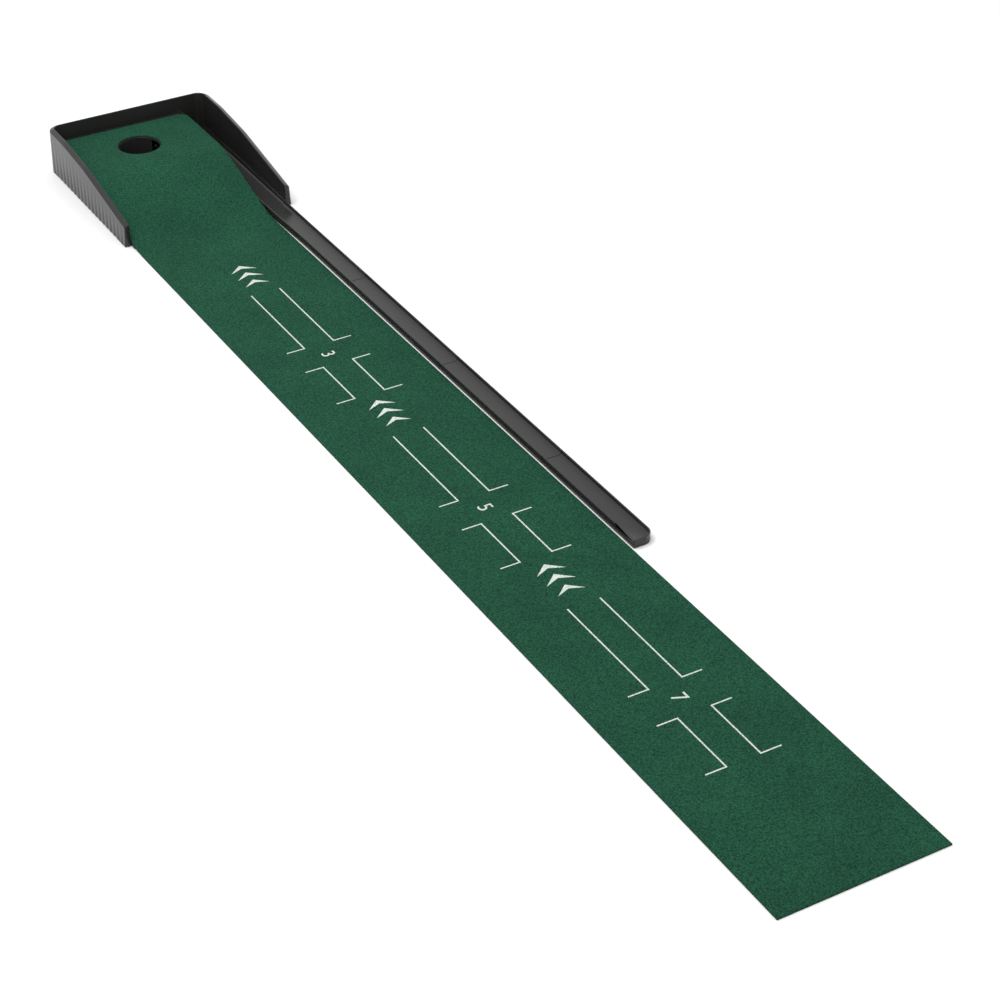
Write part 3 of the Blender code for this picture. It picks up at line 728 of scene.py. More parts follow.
def parts_on_points_tree():
    """Put a copy of one part on every point of a mesh."""
    tree, source, result = open_tree("Parts On Points", [("Part", "NodeSocketObject", None)])
    part = add_node(tree, "GeometryNodeObjectInfo", {"Object": source.outputs["Part"]})
    copies = add_node(
        tree, "GeometryNodeInstanceOnPoints",
        {"Points": source.outputs["Geometry"], "Instance": part.outputs["Geometry"]},
    )
    close_tree(tree, source, result, copies.outputs["Instances"])
    return tree


def repeat_along_strip_tree():
    """Repeat a mark at even spacing along the strip."""
    tree, source, result = open_tree(
        "Repeat Along Strip",
        [
            ("Count", "NodeSocketInt", 3),
            ("First", "NodeSocketFloat", -0.6),
            ("Spacing", "NodeSocketFloat", 0.6),
        ],
    )
    start = add_node(tree, "ShaderNodeCombineXYZ", {"Y": source.outputs["First"]})
    step = add_node(tree, "ShaderNodeCombineXYZ", {"Y": source.outputs["Spacing"]})
    line = add_node(
        tree, "GeometryNodeMeshLine",
        {
            "Count": source.outputs["Count"],
            "Start Location": start.outputs["Vector"],
            "Offset": step.outputs["Vector"],
        },
        mode="OFFSET",
    )
    copies = add_node(
        tree, "GeometryNodeInstanceOnPoints",
        {"Points": line.outputs["Mesh"], "Instance": source.outputs["Geometry"]},
    )
    close_tree(tree, source, result, copies.outputs["Instances"])
    return tree


def pile_tree():
    """Scatter leaning tufts over a surface."""
    tree, source, result = open_tree(
        "Scattered Pile",
        [
            ("Tuft", "NodeSocketObject", None),
            ("Density", "NodeSocketFloat", 40000.0),
            ("Seed", "NodeSocketInt", 7),
        ],
    )
    points = add_node(
        tree, "GeometryNodeDistributePointsOnFaces",
        {
            "Mesh": source.outputs["Geometry"],
            "Density": source.outputs["Density"],
            "Seed": source.outputs["Seed"],
        },
    )
    tuft = add_node(tree, "GeometryNodeObjectInfo", {"Object": source.outputs["Tuft"]})
    turn = add_node(
        tree, "FunctionNodeRandomValue",
        {0: TUFT_TURN_LOW, 1: TUFT_TURN_HIGH, "Seed": TUFT_TURN_SEED}, data_type="FLOAT_VECTOR",
    )
    size = add_node(
        tree, "FunctionNodeRandomValue",
        {2: TUFT_SIZE_RANGE[0], 3: TUFT_SIZE_RANGE[1], "Seed": TUFT_SIZE_SEED}, data_type="FLOAT",
    )
    copies = add_node(
        tree, "GeometryNodeInstanceOnPoints",
        {
            "Points": points.outputs["Points"],
            "Instance": tuft.outputs["Geometry"],
            "Rotation": turn.outputs[0],
            "Scale": size.outputs[1],
        },
    )
    close_tree(tree, source, result, copies.outputs["Instances"])
    return tree


# ---------------------------------------------------------------- turf strip


def strip_outline(inset, corner_steps=10):
    """Plan of the strip, square in front and rounded at the rear, drawn in by an inset."""
    half = TURF_HIGH.x - inset
    front = TURF_LOW.y + inset
    centre_y = TURF_HIGH.y - STRIP_CORNER_RADIUS
    radius = STRIP_CORNER_RADIUS - inset
    centre_x = TURF_HIGH.x - STRIP_CORNER_RADIUS
    points = [(-half, front), (half, front)]
    points += arc((centre_x, centre_y), radius, 0, 90, corner_steps)
    points += arc((-centre_x, centre_y), radius, 90, 180, corner_steps)
    return points


def filled_outline(loop, cell):
    """The same loop with points added on its long straight sides."""
    filled = []
    for first, last in zip(loop, loop[1:] + loop[:1]):
        count = max(1, round(math.dist(first, last) / cell))
        filled += [
            (first[0] + (last[0] - first[0]) * i / count, first[1] + (last[1] - first[1]) * i / count)
            for i in range(count)
        ]
    return filled


def inside_strip(x, y, margin):
    """Whether a point lies on the strip, at least a margin away from its edges and the hole."""
    if math.hypot(x, y - CUP_Y) < HOLE_RADIUS + margin:
        return False
    if abs(x) > TURF_HIGH.x - margin or not TURF_LOW.y + margin <= y <= TURF_HIGH.y - margin:
        return False
    corner_x = abs(x) - (TURF_HIGH.x - STRIP_CORNER_RADIUS)
    corner_y = y - (TURF_HIGH.y - STRIP_CORNER_RADIUS)
    if corner_x > 0 and corner_y > 0:
        return math.hypot(corner_x, corner_y) <= STRIP_CORNER_RADIUS - margin
    return True


def strip_plan(cell, insets):
    """Triangles of the strip's plan, with rings at each inset inside its edges and hole."""
    points = []
    loops = []
    levels = []
    for level, inset in enumerate(insets):
        ring = filled_outline(strip_outline(inset), cell)
        hole = arc((0.0, CUP_Y), HOLE_RADIUS + inset, 0, 360, HOLE_STEPS)[:-1]
        for loop in (ring, hole):
            start = len(points)
            points += [Vector(point) for point in loop]
            levels += [level] * len(loop)
            loops += [(start + i, start + (i + 1) % len(loop)) for i in range(len(loop))]
    margin = insets[-1] + cell / 2
    across = round((TURF_HIGH.x - TURF_LOW.x) / cell)
    along = round((TURF_HIGH.y - TURF_LOW.y) / cell)
    for x in spread(TURF_LOW.x, TURF_HIGH.x, across):
        for y in spread(TURF_LOW.y, TURF_HIGH.y, along):
            if inside_strip(x, y, margin):
                points.append(Vector((x, y)))
                levels.append(len(insets) - 1)
    verts, _, faces, origins, _, _ = delaunay_2d_cdt(points, loops, [], 0, PLAN_TOLERANCE)
    kept = []
    for face in faces:
        x = sum(verts[i][0] for i in face) / len(face)
        y = sum(verts[i][1] for i in face) / len(face)
        if inside_strip(x, y, 0.0):
            kept.append(face)
    return verts, [levels[source[0]] for source in origins], kept


def strip_layer(name, low, high, cell, edge_drops, look_name):
    """A layer of the strip as a closed sheet whose upper edges roll over softly."""
    verts, levels, faces = strip_plan(cell, EDGE_INSETS)
    bm = bmesh.new()
    upper = []
    lower = []
    for (x, y), level in zip(verts, levels):
        base = rise(y)
        upper.append(bm.verts.new((x, y, base + high - edge_drops[level])))
        lower.append(bm.verts.new((x, y, base + low)))
    edges = {}
    for face in faces:
        bm.faces.new([upper[i] for i in face])
        bm.faces.new([lower[i] for i in reversed(face)])
        for first, last in zip(face, face[1:] + face[:1]):
            edges[frozenset((first, last))] = edges.get(frozenset((first, last)), []) + [(first, last)]
    for uses in edges.values():
        if len(uses) == 1:
            first, last = uses[0]
            bm.faces.new((upper[last], upper[first], lower[first], lower[last]))
    loose = [vert for vert in bm.verts if not vert.link_faces]
    bmesh.ops.delete(bm, geom=loose, context="VERTS")
    return from_bmesh(name, bm, look(look_name), STRIP_SHARP_ANGLE)


def pile_ground(cell):
    """The strip's upper face, where the tufts stand."""
    verts, _, faces = strip_plan(cell, (PILE_EDGE_INSET,))
    mesh = bpy.data.meshes.new("pile_ground")
    sunk = TURF_TOP - PILE_SINK
    mesh.from_pydata([(x, y, rise(y) + sunk) for x, y in verts], [], [list(face) for face in faces])
    return mesh_object("pile_ground", mesh)


def tuft_part(height):
    """One tuft: a slim closed pyramid that stands a little into the felt."""
    bm = bmesh.new()
    width = height * TUFT_WIDTH_SHARE
    root = -height * TUFT_ROOT_SHARE
    base = add_loop(bm, [(x, y, root) for x, y in arc((0, 0), width, 0, 360, 3)[:-1]])
    tip = bm.verts.new((width * TUFT_LEAN_SHARE, 0.0, height))
    bm.faces.new(base)
    for first, last in zip(base, base[1:] + base[:1]):
        bm.faces.new((first, last, tip))
    return from_bmesh("tuft_part", bm, None)


class PUTTING_OT_turf_strip(bpy.types.Operator):
    """Build the turf strip: felt, pile and backing"""

    bl_idname = "putting_mat.turf_strip"
    bl_label = "Turf Strip"

    def execute(self, context):
        turf = settings("putting_turf")
        felt = strip_layer(
            "turf_felt", TURF_BASE, TURF_TOP, turf.cell, FELT_EDGE_DROPS, "green_felt",
        )
        backing = strip_layer(
            "strip_backing", 0.0, BACKING_TOP, turf.cell * 2, BACKING_EDGE_DROPS, "foam_backing",
        )
        fit(felt, "turf_strip", ["mat_turf"])
        fit(backing, "turf_strip", ["mat_backing"])
        if turf.pile_density > 0:
            ground = pile_ground(turf.cell * 2)
            tuft = tuft_part(turf.pile_height)
            felt_look = look("green_felt")
            values = {
                "Tuft": tuft, "Density": turf.pile_density, "Seed": turf.seed, "Material": felt_look,
            }
            pile = with_nodes(ground, pile_tree(), values, "turf_pile", felt_look)
            bpy.data.objects.remove(tuft, do_unlink=True)
            fit(pile, "turf_strip", [])
        return {"FINISHED"}


# ---------------------------------------------------------------- printed marks


def add_ink(bm, outline):
    """A thin closed patch of ink on the level part of the strip, from a plan outline."""
    levels = (TURF_TOP - INK_SINK, TURF_TOP + INK_RAISE)
    closed_tube(bm, [add_loop(bm, [(x, y, z) for x, y in outline]) for z in levels])


def bar(x0, x1, y0, y1):
    """Plan outline of a straight bar."""
    return [(x0, y0), (x1, y0), (x1, y1), (x0, y1)]


def lane_outlines(marks):
    """The lines and their cross strokes at one station, as separate outlines that don't overlap."""
    half = marks.line_width / 2
    outlines = []
    for side in (-1, 1):
        near = side * (marks.lane_half_width - half)
        far = side * (marks.lane_half_width + half)
        tip = side * (marks.lane_half_width + marks.serif_length)
        gap, upper, lower = marks.gap_half_length, marks.upper_length, marks.lower_length
        bars = [
            bar(near, far, gap, upper),
            bar(far, tip, gap, gap + 2 * half),
            bar(near, far, -lower, -gap),
            bar(far, tip, -gap - 2 * half, -gap),
            bar(far, tip, -lower, -lower + 2 * half),
        ]
        outlines += [shape if side > 0 else shape[::-1] for shape in bars]
    return outlines


def chevron_outlines():
    """The arrowheads before a station, each with arms that taper to fine tips."""
    return [
        [(0.0, apex), (-half_width, apex - depth), (0.0, apex - waist), (half_width, apex - depth)]
        for apex, half_width, depth, waist in ARROWHEADS
    ]


def number_mesh(digit, height, station_y):
    """A printed number, upright for someone who looks across the strip from the track's far side."""
    curve = bpy.data.curves.new("number_" + digit, "FONT")
    curve.body = digit
    curve.extrude = (INK_RAISE + INK_SINK) / 2
    text = bpy.data.objects.new("number_" + digit, curve)
    bpy.context.scene.collection.objects.link(text)
    bpy.context.view_layer.update()
    graph = bpy.context.evaluated_depsgraph_get()
    mesh = bpy.data.meshes.new_from_object(text.evaluated_get(graph), depsgraph=graph)
    bpy.data.objects.remove(text, do_unlink=True)
    xs = [vert.co.x for vert in mesh.vertices]
    ys = [vert.co.y for vert in mesh.vertices]
    size = height / (max(ys) - min(ys))
    centre = Vector(((max(xs) + min(xs)) / 2, (max(ys) + min(ys)) / 2, 0.0))
    turn = Matrix.Rotation(math.radians(-90), 4, "Z")
    flat = Matrix.Diagonal((size, size, 1.0, 1.0))
    lift = TURF_TOP + (INK_RAISE - INK_SINK) / 2
    mesh.transform(Matrix.Translation((0.0, station_y, lift)) @ turn @ flat @ Matrix.Translation(-centre))
    return mesh


class PUTTING_OT_markings(bpy.types.Operator):
    """Print the lane lines, the arrowheads and the distance numbers"""

    bl_idname = "putting_mat.markings"
    bl_label = "Printed Marks"

    def execute(self, context):
        marks = settings("putting_marks")
        tree = repeat_along_strip_tree()
        ink = look("printed_ink")
        for name, outlines in (("lane_lines", lane_outlines(marks)), ("arrowheads", chevron_outlines())):
            bm = bmesh.new()
            for outline in outlines:
                add_ink(bm, outline)
            one = from_bmesh(name + "_part", bm, ink)
            values = {
                "Count": STATION_COUNT, "First": -marks.spacing, "Spacing": marks.spacing, "Material": ink,
            }
            fit(with_nodes(one, tree, values, name, ink), "turf_strip", [])
        bm = bmesh.new()
        for digit, station in (("3", marks.spacing), ("5", 0.0), ("7", -marks.spacing)):
            mesh = number_mesh(digit, marks.digit_height, station)
            bm.from_mesh(mesh)
            bpy.data.meshes.remove(mesh)
        fit(from_bmesh("distance_numbers", bm, ink), "turf_strip", [])
        return {"FINISHED"}


# ---------------------------------------------------------------- surround wall


def rim_height(y):
    """Height of the wall's rim, with its bends eased."""

    def straight(at):
        level_y = INNER_REAR_Y - LEVEL_RIM_SETBACK
        kink_y = INNER_REAR_Y - KINK_SETBACK
        if at >= level_y:
            return WALL_HIGH.z
        if at >= kink_y:
            return KINK_RIM_Z + (WALL_HIGH.z - KINK_RIM_Z) * (at - kink_y) / (level_y - kink_y)
        return FRONT_RIM_Z + (KINK_RIM_Z - FRONT_RIM_Z) * (at - WALL_FRONT_Y) / (kink_y - WALL_FRONT_Y)

    samples = spread(y - RIM_EASE, y + RIM_EASE, RIM_EASE_STEPS)
    return sum(straight(at) for at in samples) / len(samples)


def wall_stations(pitch):
    """Plan points along the wall's inner face: place, outward direction and flute strength."""
    radius = INNER_CORNER_RADIUS
    corner_y = INNER_REAR_Y - radius
    step = pitch / STEPS_PER_FLUTE
    stations = []

    def straight(first, last, out):
        length = math.dist(first, last)
        count = round(length / step)
        flutes = max(1, round(length / pitch))
        for index in range(count + 1):
            share = index / count
            place = (first[0] + (last[0] - first[0]) * share, first[1] + (last[1] - first[1]) * share)
            wave = 0.5 - 0.5 * math.cos(2 * math.pi * share * flutes)
            stations.append((place, out, wave ** FLUTE_SHARPNESS))

    def corner(centre_x, start, stop):
        for angle in spread(start, stop, CORNER_STEPS)[1:-1]:
            out = (math.cos(math.radians(angle)), math.sin(math.radians(angle)))
            stations.append(((centre_x + radius * out[0], corner_y + radius * out[1]), out, 0.0))

    straight((INNER_LEFT_X, WALL_FRONT_Y + WALL_SKIN), (INNER_LEFT_X, corner_y), (-1.0, 0.0))
    corner(INNER_LEFT_X + radius, 180, 90)
    straight((INNER_LEFT_X + radius, INNER_REAR_Y), (INNER_RIGHT_X - radius, INNER_REAR_Y), (0.0, 1.0))
    corner(INNER_RIGHT_X - radius, 90, 0)
    straight((INNER_RIGHT_X, corner_y), (INNER_RIGHT_X, WALL_FRONT_Y + WALL_SKIN), (1.0, 0.0))
    return stations


def outer_profile(rim, foot, flute):
    """The wall's outside in section, from the inner foot over the rim to the outer foot."""
    edge = RIM_EDGE_RADIUS
    shoulder = RIM_WIDTH + SHOULDER_WIDTH
    profile = [(0.0, foot)]
    profile += [(edge + d, z) for d, z in arc((0.0, rim - edge), edge, 180, 90, 4)]
    profile += arc((RIM_WIDTH - edge, rim - edge), edge, 90, 60, 2)
    profile += arc((shoulder - 2 * edge, rim - SHOULDER_DROP - edge), 2 * edge, 60, 8, 5)
    top = profile[-1][1] - FLUTE_TOP_DROP
    for share in spread(0.0, 1.0, FLUTE_ROWS):
        z = top + (foot - top) * share
        lean = shoulder + (WALL_BASE - shoulder) * share
        strength = clamp(share * (1 + FLUTE_FADE) - FLUTE_FADE, 0.0, 1.0) ** FLUTE_FALLOFF
        profile.append((lean - flute * strength, z))
    return profile


def wall_profile(rim, foot, flute):
    """The closed section of the wall: its outside, then the hollow between its skins."""
    shoulder = RIM_WIDTH + SHOULDER_WIDTH
    return outer_profile(rim, foot, flute) + [
        (WALL_BASE - WALL_SKIN, foot),
        (shoulder - WALL_SKIN, rim - SHOULDER_DROP - WALL_SKIN),
        (WALL_SKIN, rim - 1.5 * WALL_SKIN),
        (WALL_SKIN, foot),
    ]


def add_end_plate(bm, x, out):
    """The plate that closes the wall's front end, with a rounded front edge."""
    edge = END_EDGE_RADIUS
    rim = rim_height(WALL_FRONT_Y)
    outline = outer_profile(rim, WALL_FOOT_Z, 0.0)
    middle = (WALL_BASE / 2, (rim + WALL_FOOT_Z) / 2)
    rings = []
    for y, inset in ((0.0, edge), (edge * 0.3, edge * 0.3), (edge, 0.0), (WALL_SKIN + edge, 0.0)):
        ring = []
        for d, z in outline:
            inward = d + math.copysign(min(inset, abs(middle[0] - d)), middle[0] - d)
            height = z + math.copysign(min(inset, abs(middle[1] - z)), middle[1] - z)
            ring.append((x + out * inward, WALL_FRONT_Y + y, height))
        rings.append(add_loop(bm, ring))
    closed_tube(bm, rings)


def surround_moulding(plastic):
    """The whole wall: its section carried round three sides, two end plates and four tabs."""
    bm = bmesh.new()
    rings = []
    for (x, y), out, wave in wall_stations(plastic.flute_pitch):
        profile = wall_profile(rim_height(y), WALL_FOOT_Z, wave * plastic.flute_depth)
        rings.append(add_loop(bm, [(x + out[0] * d, y + out[1] * d, z) for d, z in profile]))
    closed_tube(bm, rings)
    add_end_plate(bm, INNER_LEFT_X, -1)
    add_end_plate(bm, INNER_RIGHT_X, 1)
    for y in TAB_YS:
        zs = (TAB_TOP - TAB_THICKNESS, TAB_TOP)
        ys = (y - TAB_HALF_LENGTH, y + TAB_HALF_LENGTH)
        left = (INNER_LEFT_X - WALL_SKIN / 2, INNER_LEFT_X + TAB_REACH)
        right = (INNER_RIGHT_X - TAB_REACH, INNER_RIGHT_X + WALL_SKIN / 2)
        for xs in (left, right):
            add_block(bm, (xs[0], ys[0], zs[0]), (xs[1], ys[1], zs[1]), TAB_CHAMFER)
    return from_bmesh("surround_moulding", bm, look("moulded_black"))


class PUTTING_OT_surround_wall(bpy.types.Operator):
    """Build the surround wall with its rounded rim and fluted outer face"""

    bl_idname = "putting_mat.surround_wall"
    bl_label = "Surround Wall"

    def execute(self, context):
        fit(surround_moulding(settings("putting_moulding")), "housing", ["surround_wall"])
        return {"FINISHED"}


# ---------------------------------------------------------------- mouldings that follow the frame


def room_beside(edge, face):
    """How far a face reaches from one of its edges, measured square to that edge."""
    start = edge.verts[0].co
    along = (edge.verts[1].co - start).normalized()
    return max((vert.co - start - along * (vert.co - start).dot(along)).length for vert in face.verts)


def softened(node, name, radius, look_name):
    """A copy of a frame node with merged faces and rounded edges.

    An edge is rounded less, down to not at all, where the faces beside it are narrow, and no point
    leaves the node's own box.
    """
    bm = bmesh.new()
    bm.from_mesh(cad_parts[node].data)
    bmesh.ops.remove_doubles(bm, verts=bm.verts, dist=MERGE_DISTANCE)
    bmesh.ops.dissolve_limit(bm, angle_limit=FLAT_ANGLE, verts=bm.verts, edges=bm.edges)
    bmesh.ops.recalc_face_normals(bm, faces=bm.faces)
    weight = bm.edges.layers.float.new("bevel_weight_edge")
    for edge in bm.edges:
        if len(edge.link_faces) == 2 and edge.calc_face_angle(0.0) > ROUNDED_ANGLE:
            tight = min(room_beside(edge, face) for face in edge.link_faces)
            room = tight / ROOM_PER_RADIUS - radius * ROOM_MARGIN
            edge[weight] = clamp(room / radius, 0.0, 1.0)
    low = [min(vert.co[axis] for vert in bm.verts) for axis in range(3)]
    high = [max(vert.co[axis] for vert in bm.verts) for axis in range(3)]
    made = from_bmesh(name + "_sharp", bm, look(look_name))
    step = made.modifiers.new("rounded_edges", "BEVEL")
    step.width = radius
    step.segments = 2
    step.limit_method = "WEIGHT"
    step.use_clamp_overlap = False
    step.harden_normals = True
    finished = applied(made, name, look(look_name))
    for vert in finished.data.vertices:
        vert.co = [clamp(vert.co[axis], low[axis], high[axis]) for axis in range(3)]
    return finished


class PUTTING_OT_mouldings(bpy.types.Operator):
    """Finish the deck, cup, chute, side channel, track and feet"""

    bl_idname = "putting_mat.mouldings"
    bl_label = "Mouldings and Feet"

    def execute(self, context):
        radius = settings("putting_moulding").edge_radius
        rows = [
            ("ramp_deck", "deck_moulding", "housing", "moulded_black", "black_plastic"),
            ("ball_cup", "cup_sleeve", "housing", "polished_black_painted_fill", "cup_plastic"),
            ("cup_chute", "chute_moulding", "housing", "moulded_black", "black_plastic"),
            ("side_channel", "channel_moulding", "housing", "moulded_black", "black_plastic"),
            ("track_section_1", "track_moulding_1", "section_1", "moulded_black", "black_plastic"),
            ("track_section_2", "track_moulding_2", "section_2", "moulded_black", "black_plastic"),
            ("track_section_3", "track_moulding_3", "section_3", "moulded_black", "black_plastic"),
            ("track_nose", "nose_moulding", "nose", "moulded_black", "black_plastic"),
        ]
        for node, name, body, look_name, slot in rows:
            fit(softened(node, name, radius, look_name), body, [node])
        for place in ("front_left", "front_right", "rear_left", "rear_right"):
            node = "foot_" + place
            fit(softened(node, "pad_" + place, radius, "foot_rubber"), "housing", [node])
        return {"FINISHED"}


# ---------------------------------------------------------------- fasteners


def screw_part(fasteners, length):
    """One screw, head down, with a cross recess; its origin is on the seat."""
    bm = bmesh.new()
    head, height, shank = fasteners.head_radius, fasteners.head_height, fasteners.shank_radius
    profile = [(head * wide, -height * deep) for wide, deep in SCREW_HEAD_PROFILE]
    profile += [(shank, 0.0), (shank, length - shank), (shank / 3, length)]
    circles = [(arc((0, 0), radius, 0, 360, SCREW_STEPS)[:-1], z) for radius, z in profile]
    closed_tube(bm, [add_loop(bm, [(x, y, z) for x, y in circle]) for circle, z in circles])
    screw = from_bmesh("screw_part", bm, look("plated_steel"))
    arm, width = head * RECESS_ARM_SHARE, head * RECESS_WIDTH_SHARE
    cross = bmesh.new()
    outline = [
        (arm, -width), (arm, width), (width, width), (width, arm), (-width, arm), (-width, width),
        (-arm, width), (-arm, -width), (-width, -width), (-width, -arm), (width, -arm), (width, -width),
    ]
    levels = (-height * RECESS_ROOM_SHARE, -height * RECESS_FLOOR_SHARE)
    closed_tube(cross, [add_loop(cross, [(x, y, z) for x, y in outline]) for z in levels])
    cutter = from_bmesh("recess_cutter", cross, None)
    step = screw.modifiers.new("recess", "BOOLEAN")
    step.operation = "DIFFERENCE"
    step.solver = "EXACT"
    step.object = cutter
    finished = applied(screw, "screw_part", look("plated_steel"))
    bpy.data.objects.remove(cutter, do_unlink=True)
    return finished


def copies_at(places, part, tree, name, material):
    """One object made of copies of a part at these places; the part is removed."""
    mesh = bpy.data.meshes.new(name + "_points")
    mesh.from_pydata(places, [], [])
    points = mesh_object(name + "_points", mesh)
    made = with_nodes(points, tree, {"Part": part, "Material": material}, name, material)
    bpy.data.objects.remove(part, do_unlink=True)
    return made


def screw_set(name, nodes, length, tree, fasteners):
    """Copies of one screw at the heads of these frame nodes."""
    seats = []
    for node in nodes:
        low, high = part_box(node)
        seats.append(((low.x + high.x) / 2, (low.y + high.y) / 2, low.z + fasteners.head_height))
    screws = copies_at(seats, screw_part(fasteners, length), tree, name, look("plated_steel"))
    fit(screws, "housing", nodes)


def hook_part(pitch):
    """One hook of the tape: a bent closed rod."""
    bm = bmesh.new()
    radius = pitch * HOOK_RADIUS_SHARE
    rings = []
    for share, z in HOOK_PATH:
        x = pitch * share
        corners = [(x, -radius, z - radius / 2), (x, radius, z - radius / 2), (x, 0.0, z + radius)]
        rings.append(add_loop(bm, corners))
    closed_tube(bm, rings)
    return from_bmesh("hook_part", bm, look("hook_tape"))


def hook_tape(name, node, tree, pitch):
    """A tape that follows the deck's slope, with rows of small hooks on it."""
    low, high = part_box(node)
    room = DECK_TOP_BELOW - SEAT_GAP
    bm = bmesh.new()
    rings = []
    for y in spread(low.y, high.y, TAPE_STEPS):
        base = rise(y) - room
        middle, top = base + TAPE_THICKNESS / 2, base + TAPE_THICKNESS
        rings.append(add_loop(bm, [
            (low.x, y, base), (high.x, y, base), (high.x, y, middle),
            (high.x - TAPE_INSET, y, top), (low.x + TAPE_INSET, y, top), (low.x, y, middle),
        ]))
    closed_tube(bm, rings)
    tape = from_bmesh(name + "_band", bm, look("hook_tape"))
    places = []
    rows = int((high.y - low.y - 2 * pitch) / pitch)
    columns = int((high.x - low.x - 2 * pitch) / pitch)
    for y in spread(low.y + pitch, high.y - pitch, rows):
        for x in spread(low.x + pitch, high.x - pitch, columns):
            places.append((x, y, rise(y) - room + TAPE_THICKNESS / 2))
    hooks = copies_at(places, hook_part(pitch), tree, name + "_hooks", look("hook_tape"))
    fit(tape, "housing", [node])
    fit(hooks, "housing", [])
    tape.name = name


class PUTTING_OT_fasteners(bpy.types.Operator):
    """Place the screws and the hook tape"""

    bl_idname = "putting_mat.fasteners"
    bl_label = "Screws and Hook Tape"

    def execute(self, context):
        fasteners = settings("putting_fasteners")
        tree = parts_on_points_tree()
        deck = [f"deck_screw_{index}" for index in range(1, 5)]
        chute = [f"chute_screw_{index}" for index in range(1, 5)]
        channel = [f"channel_screw_{index}" for index in range(1, 3)]
        screw_set("deck_and_chute_screws", deck + chute, DECK_SCREW_LENGTH, tree, fasteners)
        screw_set("channel_screws", channel, CHANNEL_SCREW_LENGTH, tree, fasteners)
        hook_tape("hook_tape_front", "hook_strip_front", tree, fasteners.hook_pitch)
        hook_tape("hook_tape_rear", "hook_strip_rear", tree, fasteners.hook_pitch)
        return {"FINISHED"}


# ---------------------------------------------------------------- studio


def studio_camera(focal_length):
    """The scene's camera, from its place, heading, dip and roll."""
    heading, dip = CAMERA_HEADING, CAMERA_DIP
    reach = math.cos(dip)
    forward = Vector((math.sin(heading) * reach, math.cos(heading) * reach, -math.sin(dip)))
    level_right = Vector((math.cos(heading), -math.sin(heading), 0.0))
    level_up = level_right.cross(forward)
    cosine, sine = math.cos(CAMERA_ROLL), math.sin(CAMERA_ROLL)
    right = level_right * cosine + level_up * sine
    up = level_up * cosine - level_right * sine
    data = bpy.data.cameras.new("studio_camera")
    data.lens = focal_length
    data.sensor_width = SENSOR_WIDTH
    data.shift_x, data.shift_y = CAMERA_SHIFT
    data.clip_start, data.clip_end = VIEW_RANGE
    camera = bpy.data.objects.new("studio_camera", data)
    bpy.context.scene.collection.objects.link(camera)
    turn = Matrix((right, up, -forward)).transposed().to_4x4()
    camera.matrix_world = Matrix.Translation(CAMERA_PLACE) @ turn
    bpy.context.scene.camera = camera


def studio_floor(colour):
    """A wide sheet of pale paper under the object."""
    bm = bmesh.new()
    corners = bar(-FLOOR_REACH, FLOOR_REACH, -FLOOR_REACH, FLOOR_REACH)
    bm.faces.new(add_loop(bm, [(x, y, 0.0) for x, y in corners]))
    made, tree, shader = new_material("studio_paper", {"Roughness": 0.9, "Specular IOR Level": 0.2})
    place = add_node(tree, "ShaderNodeTexCoord").outputs["Object"]
    paper = add_node(tree, "ShaderNodeTexNoise", {"Vector": place, "Scale": 60.0, "Detail": 3.0})
    tone = mixed(tree, paper.outputs["Fac"], opaque(colour, 0.985), opaque(colour))
    tree.links.new(tone, shader.inputs["Base Color"])
    floor = from_bmesh("studio_floor", bm, made)


def studio_light(name, place, target, size, power):
    """A round soft light that faces a target."""
    data = bpy.data.lights.new(name, "AREA")
    data.shape = "DISK"
    data.size = size
    data.energy = power
    light = bpy.data.objects.new(name, data)
    bpy.context.scene.collection.objects.link(light)
    light.location = place
    light.rotation_euler = (Vector(target) - Vector(place)).to_track_quat("-Z", "Y").to_euler()


class PUTTING_OT_studio(bpy.types.Operator):
    """Set up the floor, the light and the camera"""

    bl_idname = "putting_mat.studio"
    bl_label = "Studio"

    def execute(self, context):
        studio = settings("putting_studio")
        scene = context.scene
        world = bpy.data.worlds.new("studio_surround")
        world.use_nodes = True
        shade = world.node_tree.nodes["Background"]
        shade.inputs["Color"].default_value = (1.0, 1.0, 1.0, 1.0)
        shade.inputs["Strength"].default_value = studio.surround_light
        scene.world = world
        scene.view_settings.view_transform = "Standard"
        studio_floor(studio.floor_colour)
        studio_light(
            "overhead_softbox", KEY_LIGHT_PLACE, KEY_LIGHT_TARGET, KEY_LIGHT_SIZE, studio.key_power,
        )
        studio_camera(studio.focal_length)
        return {"FINISHED"}


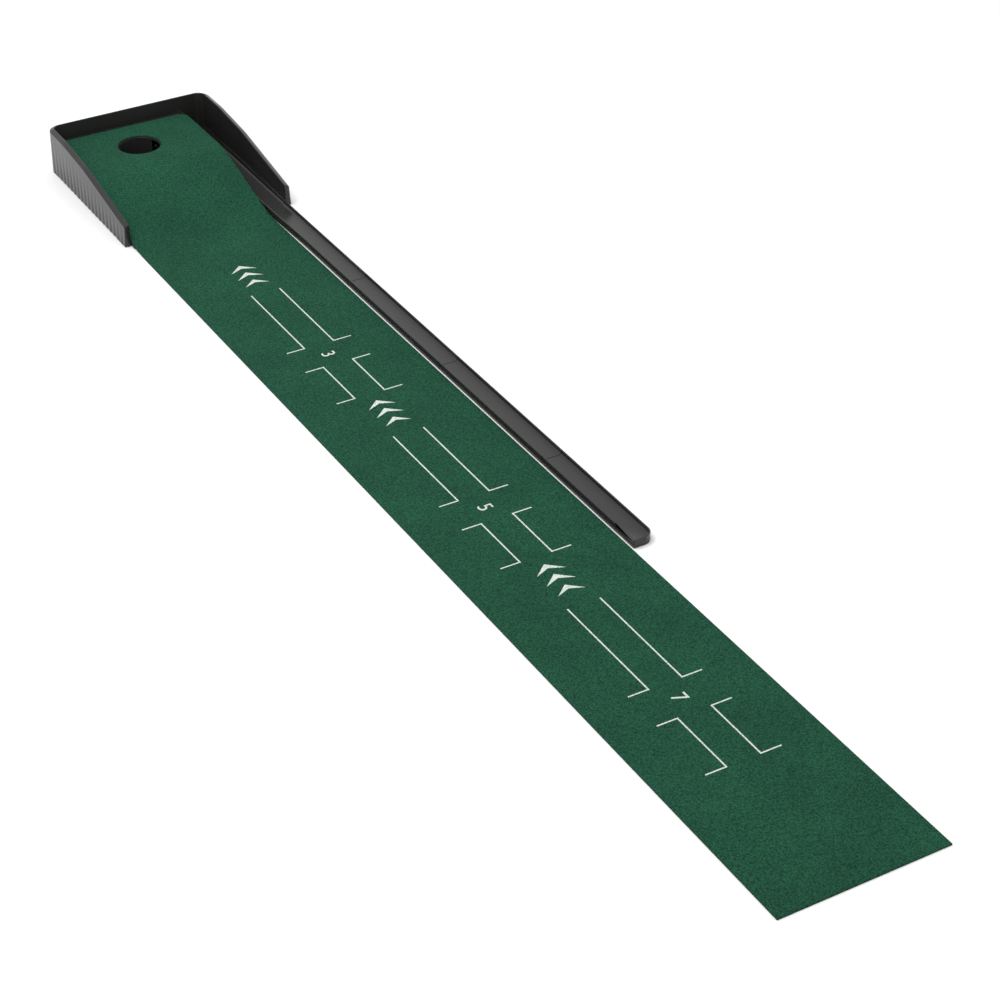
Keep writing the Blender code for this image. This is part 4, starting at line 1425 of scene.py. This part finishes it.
class PUTTING_PT_panel(bpy.types.Panel):
    """Lists the makers of the putting mat's pieces"""

    bl_idname = "PUTTING_PT_panel"
    bl_label = "Practice Putting Mat"
    bl_space_type = "VIEW_3D"
    bl_region_type = "UI"
    bl_category = "Putting Mat"

    def draw(self, context):
        for heading, group, operators in PANEL_ROWS:
            box = self.layout.box()
            box.label(text=heading)
            values = getattr(context.scene, group)
            for key in type(values).__annotations__:
                box.prop(values, key)
            for name in operators:
                box.operator(name)


PANEL_ROWS = (
    ("Turf strip", "putting_turf", ("putting_mat.turf_strip",)),
    ("Printed marks", "putting_marks", ("putting_mat.markings",)),
    ("Mouldings", "putting_moulding", ("putting_mat.surround_wall", "putting_mat.mouldings")),
    ("Fasteners", "putting_fasteners", ("putting_mat.fasteners",)),
    ("Studio", "putting_studio", ("putting_mat.studio",)),
)

CLASSES = (
    TurfStripSettings,
    MarkingSettings,
    MouldingSettings,
    FastenerSettings,
    StudioSettings,
    PUTTING_OT_turf_strip,
    PUTTING_OT_markings,
    PUTTING_OT_surround_wall,
    PUTTING_OT_mouldings,
    PUTTING_OT_fasteners,
    PUTTING_OT_studio,
    PUTTING_PT_panel,
)

SCENE_GROUPS = {
    "putting_turf": TurfStripSettings,
    "putting_marks": MarkingSettings,
    "putting_moulding": MouldingSettings,
    "putting_fasteners": FastenerSettings,
    "putting_studio": StudioSettings,
}


def register():
    """Add the classes and the scene's settings."""
    for each in CLASSES:
        bpy.utils.register_class(each)
    for name, group in SCENE_GROUPS.items():
        setattr(bpy.types.Scene, name, PointerProperty(type=group))


def unregister():
    """Take the settings and the classes away again."""
    for name in SCENE_GROUPS:
        delattr(bpy.types.Scene, name)
    for each in reversed(CLASSES):
        bpy.utils.unregister_class(each)


def main():
    register()
    bpy.ops.putting_mat.studio()
    bpy.ops.putting_mat.fasteners()
    bpy.ops.putting_mat.turf_strip()
    bpy.ops.putting_mat.markings()
    bpy.ops.putting_mat.surround_wall()
    bpy.ops.putting_mat.mouldings()


if __name__ == "__main__":
    main()
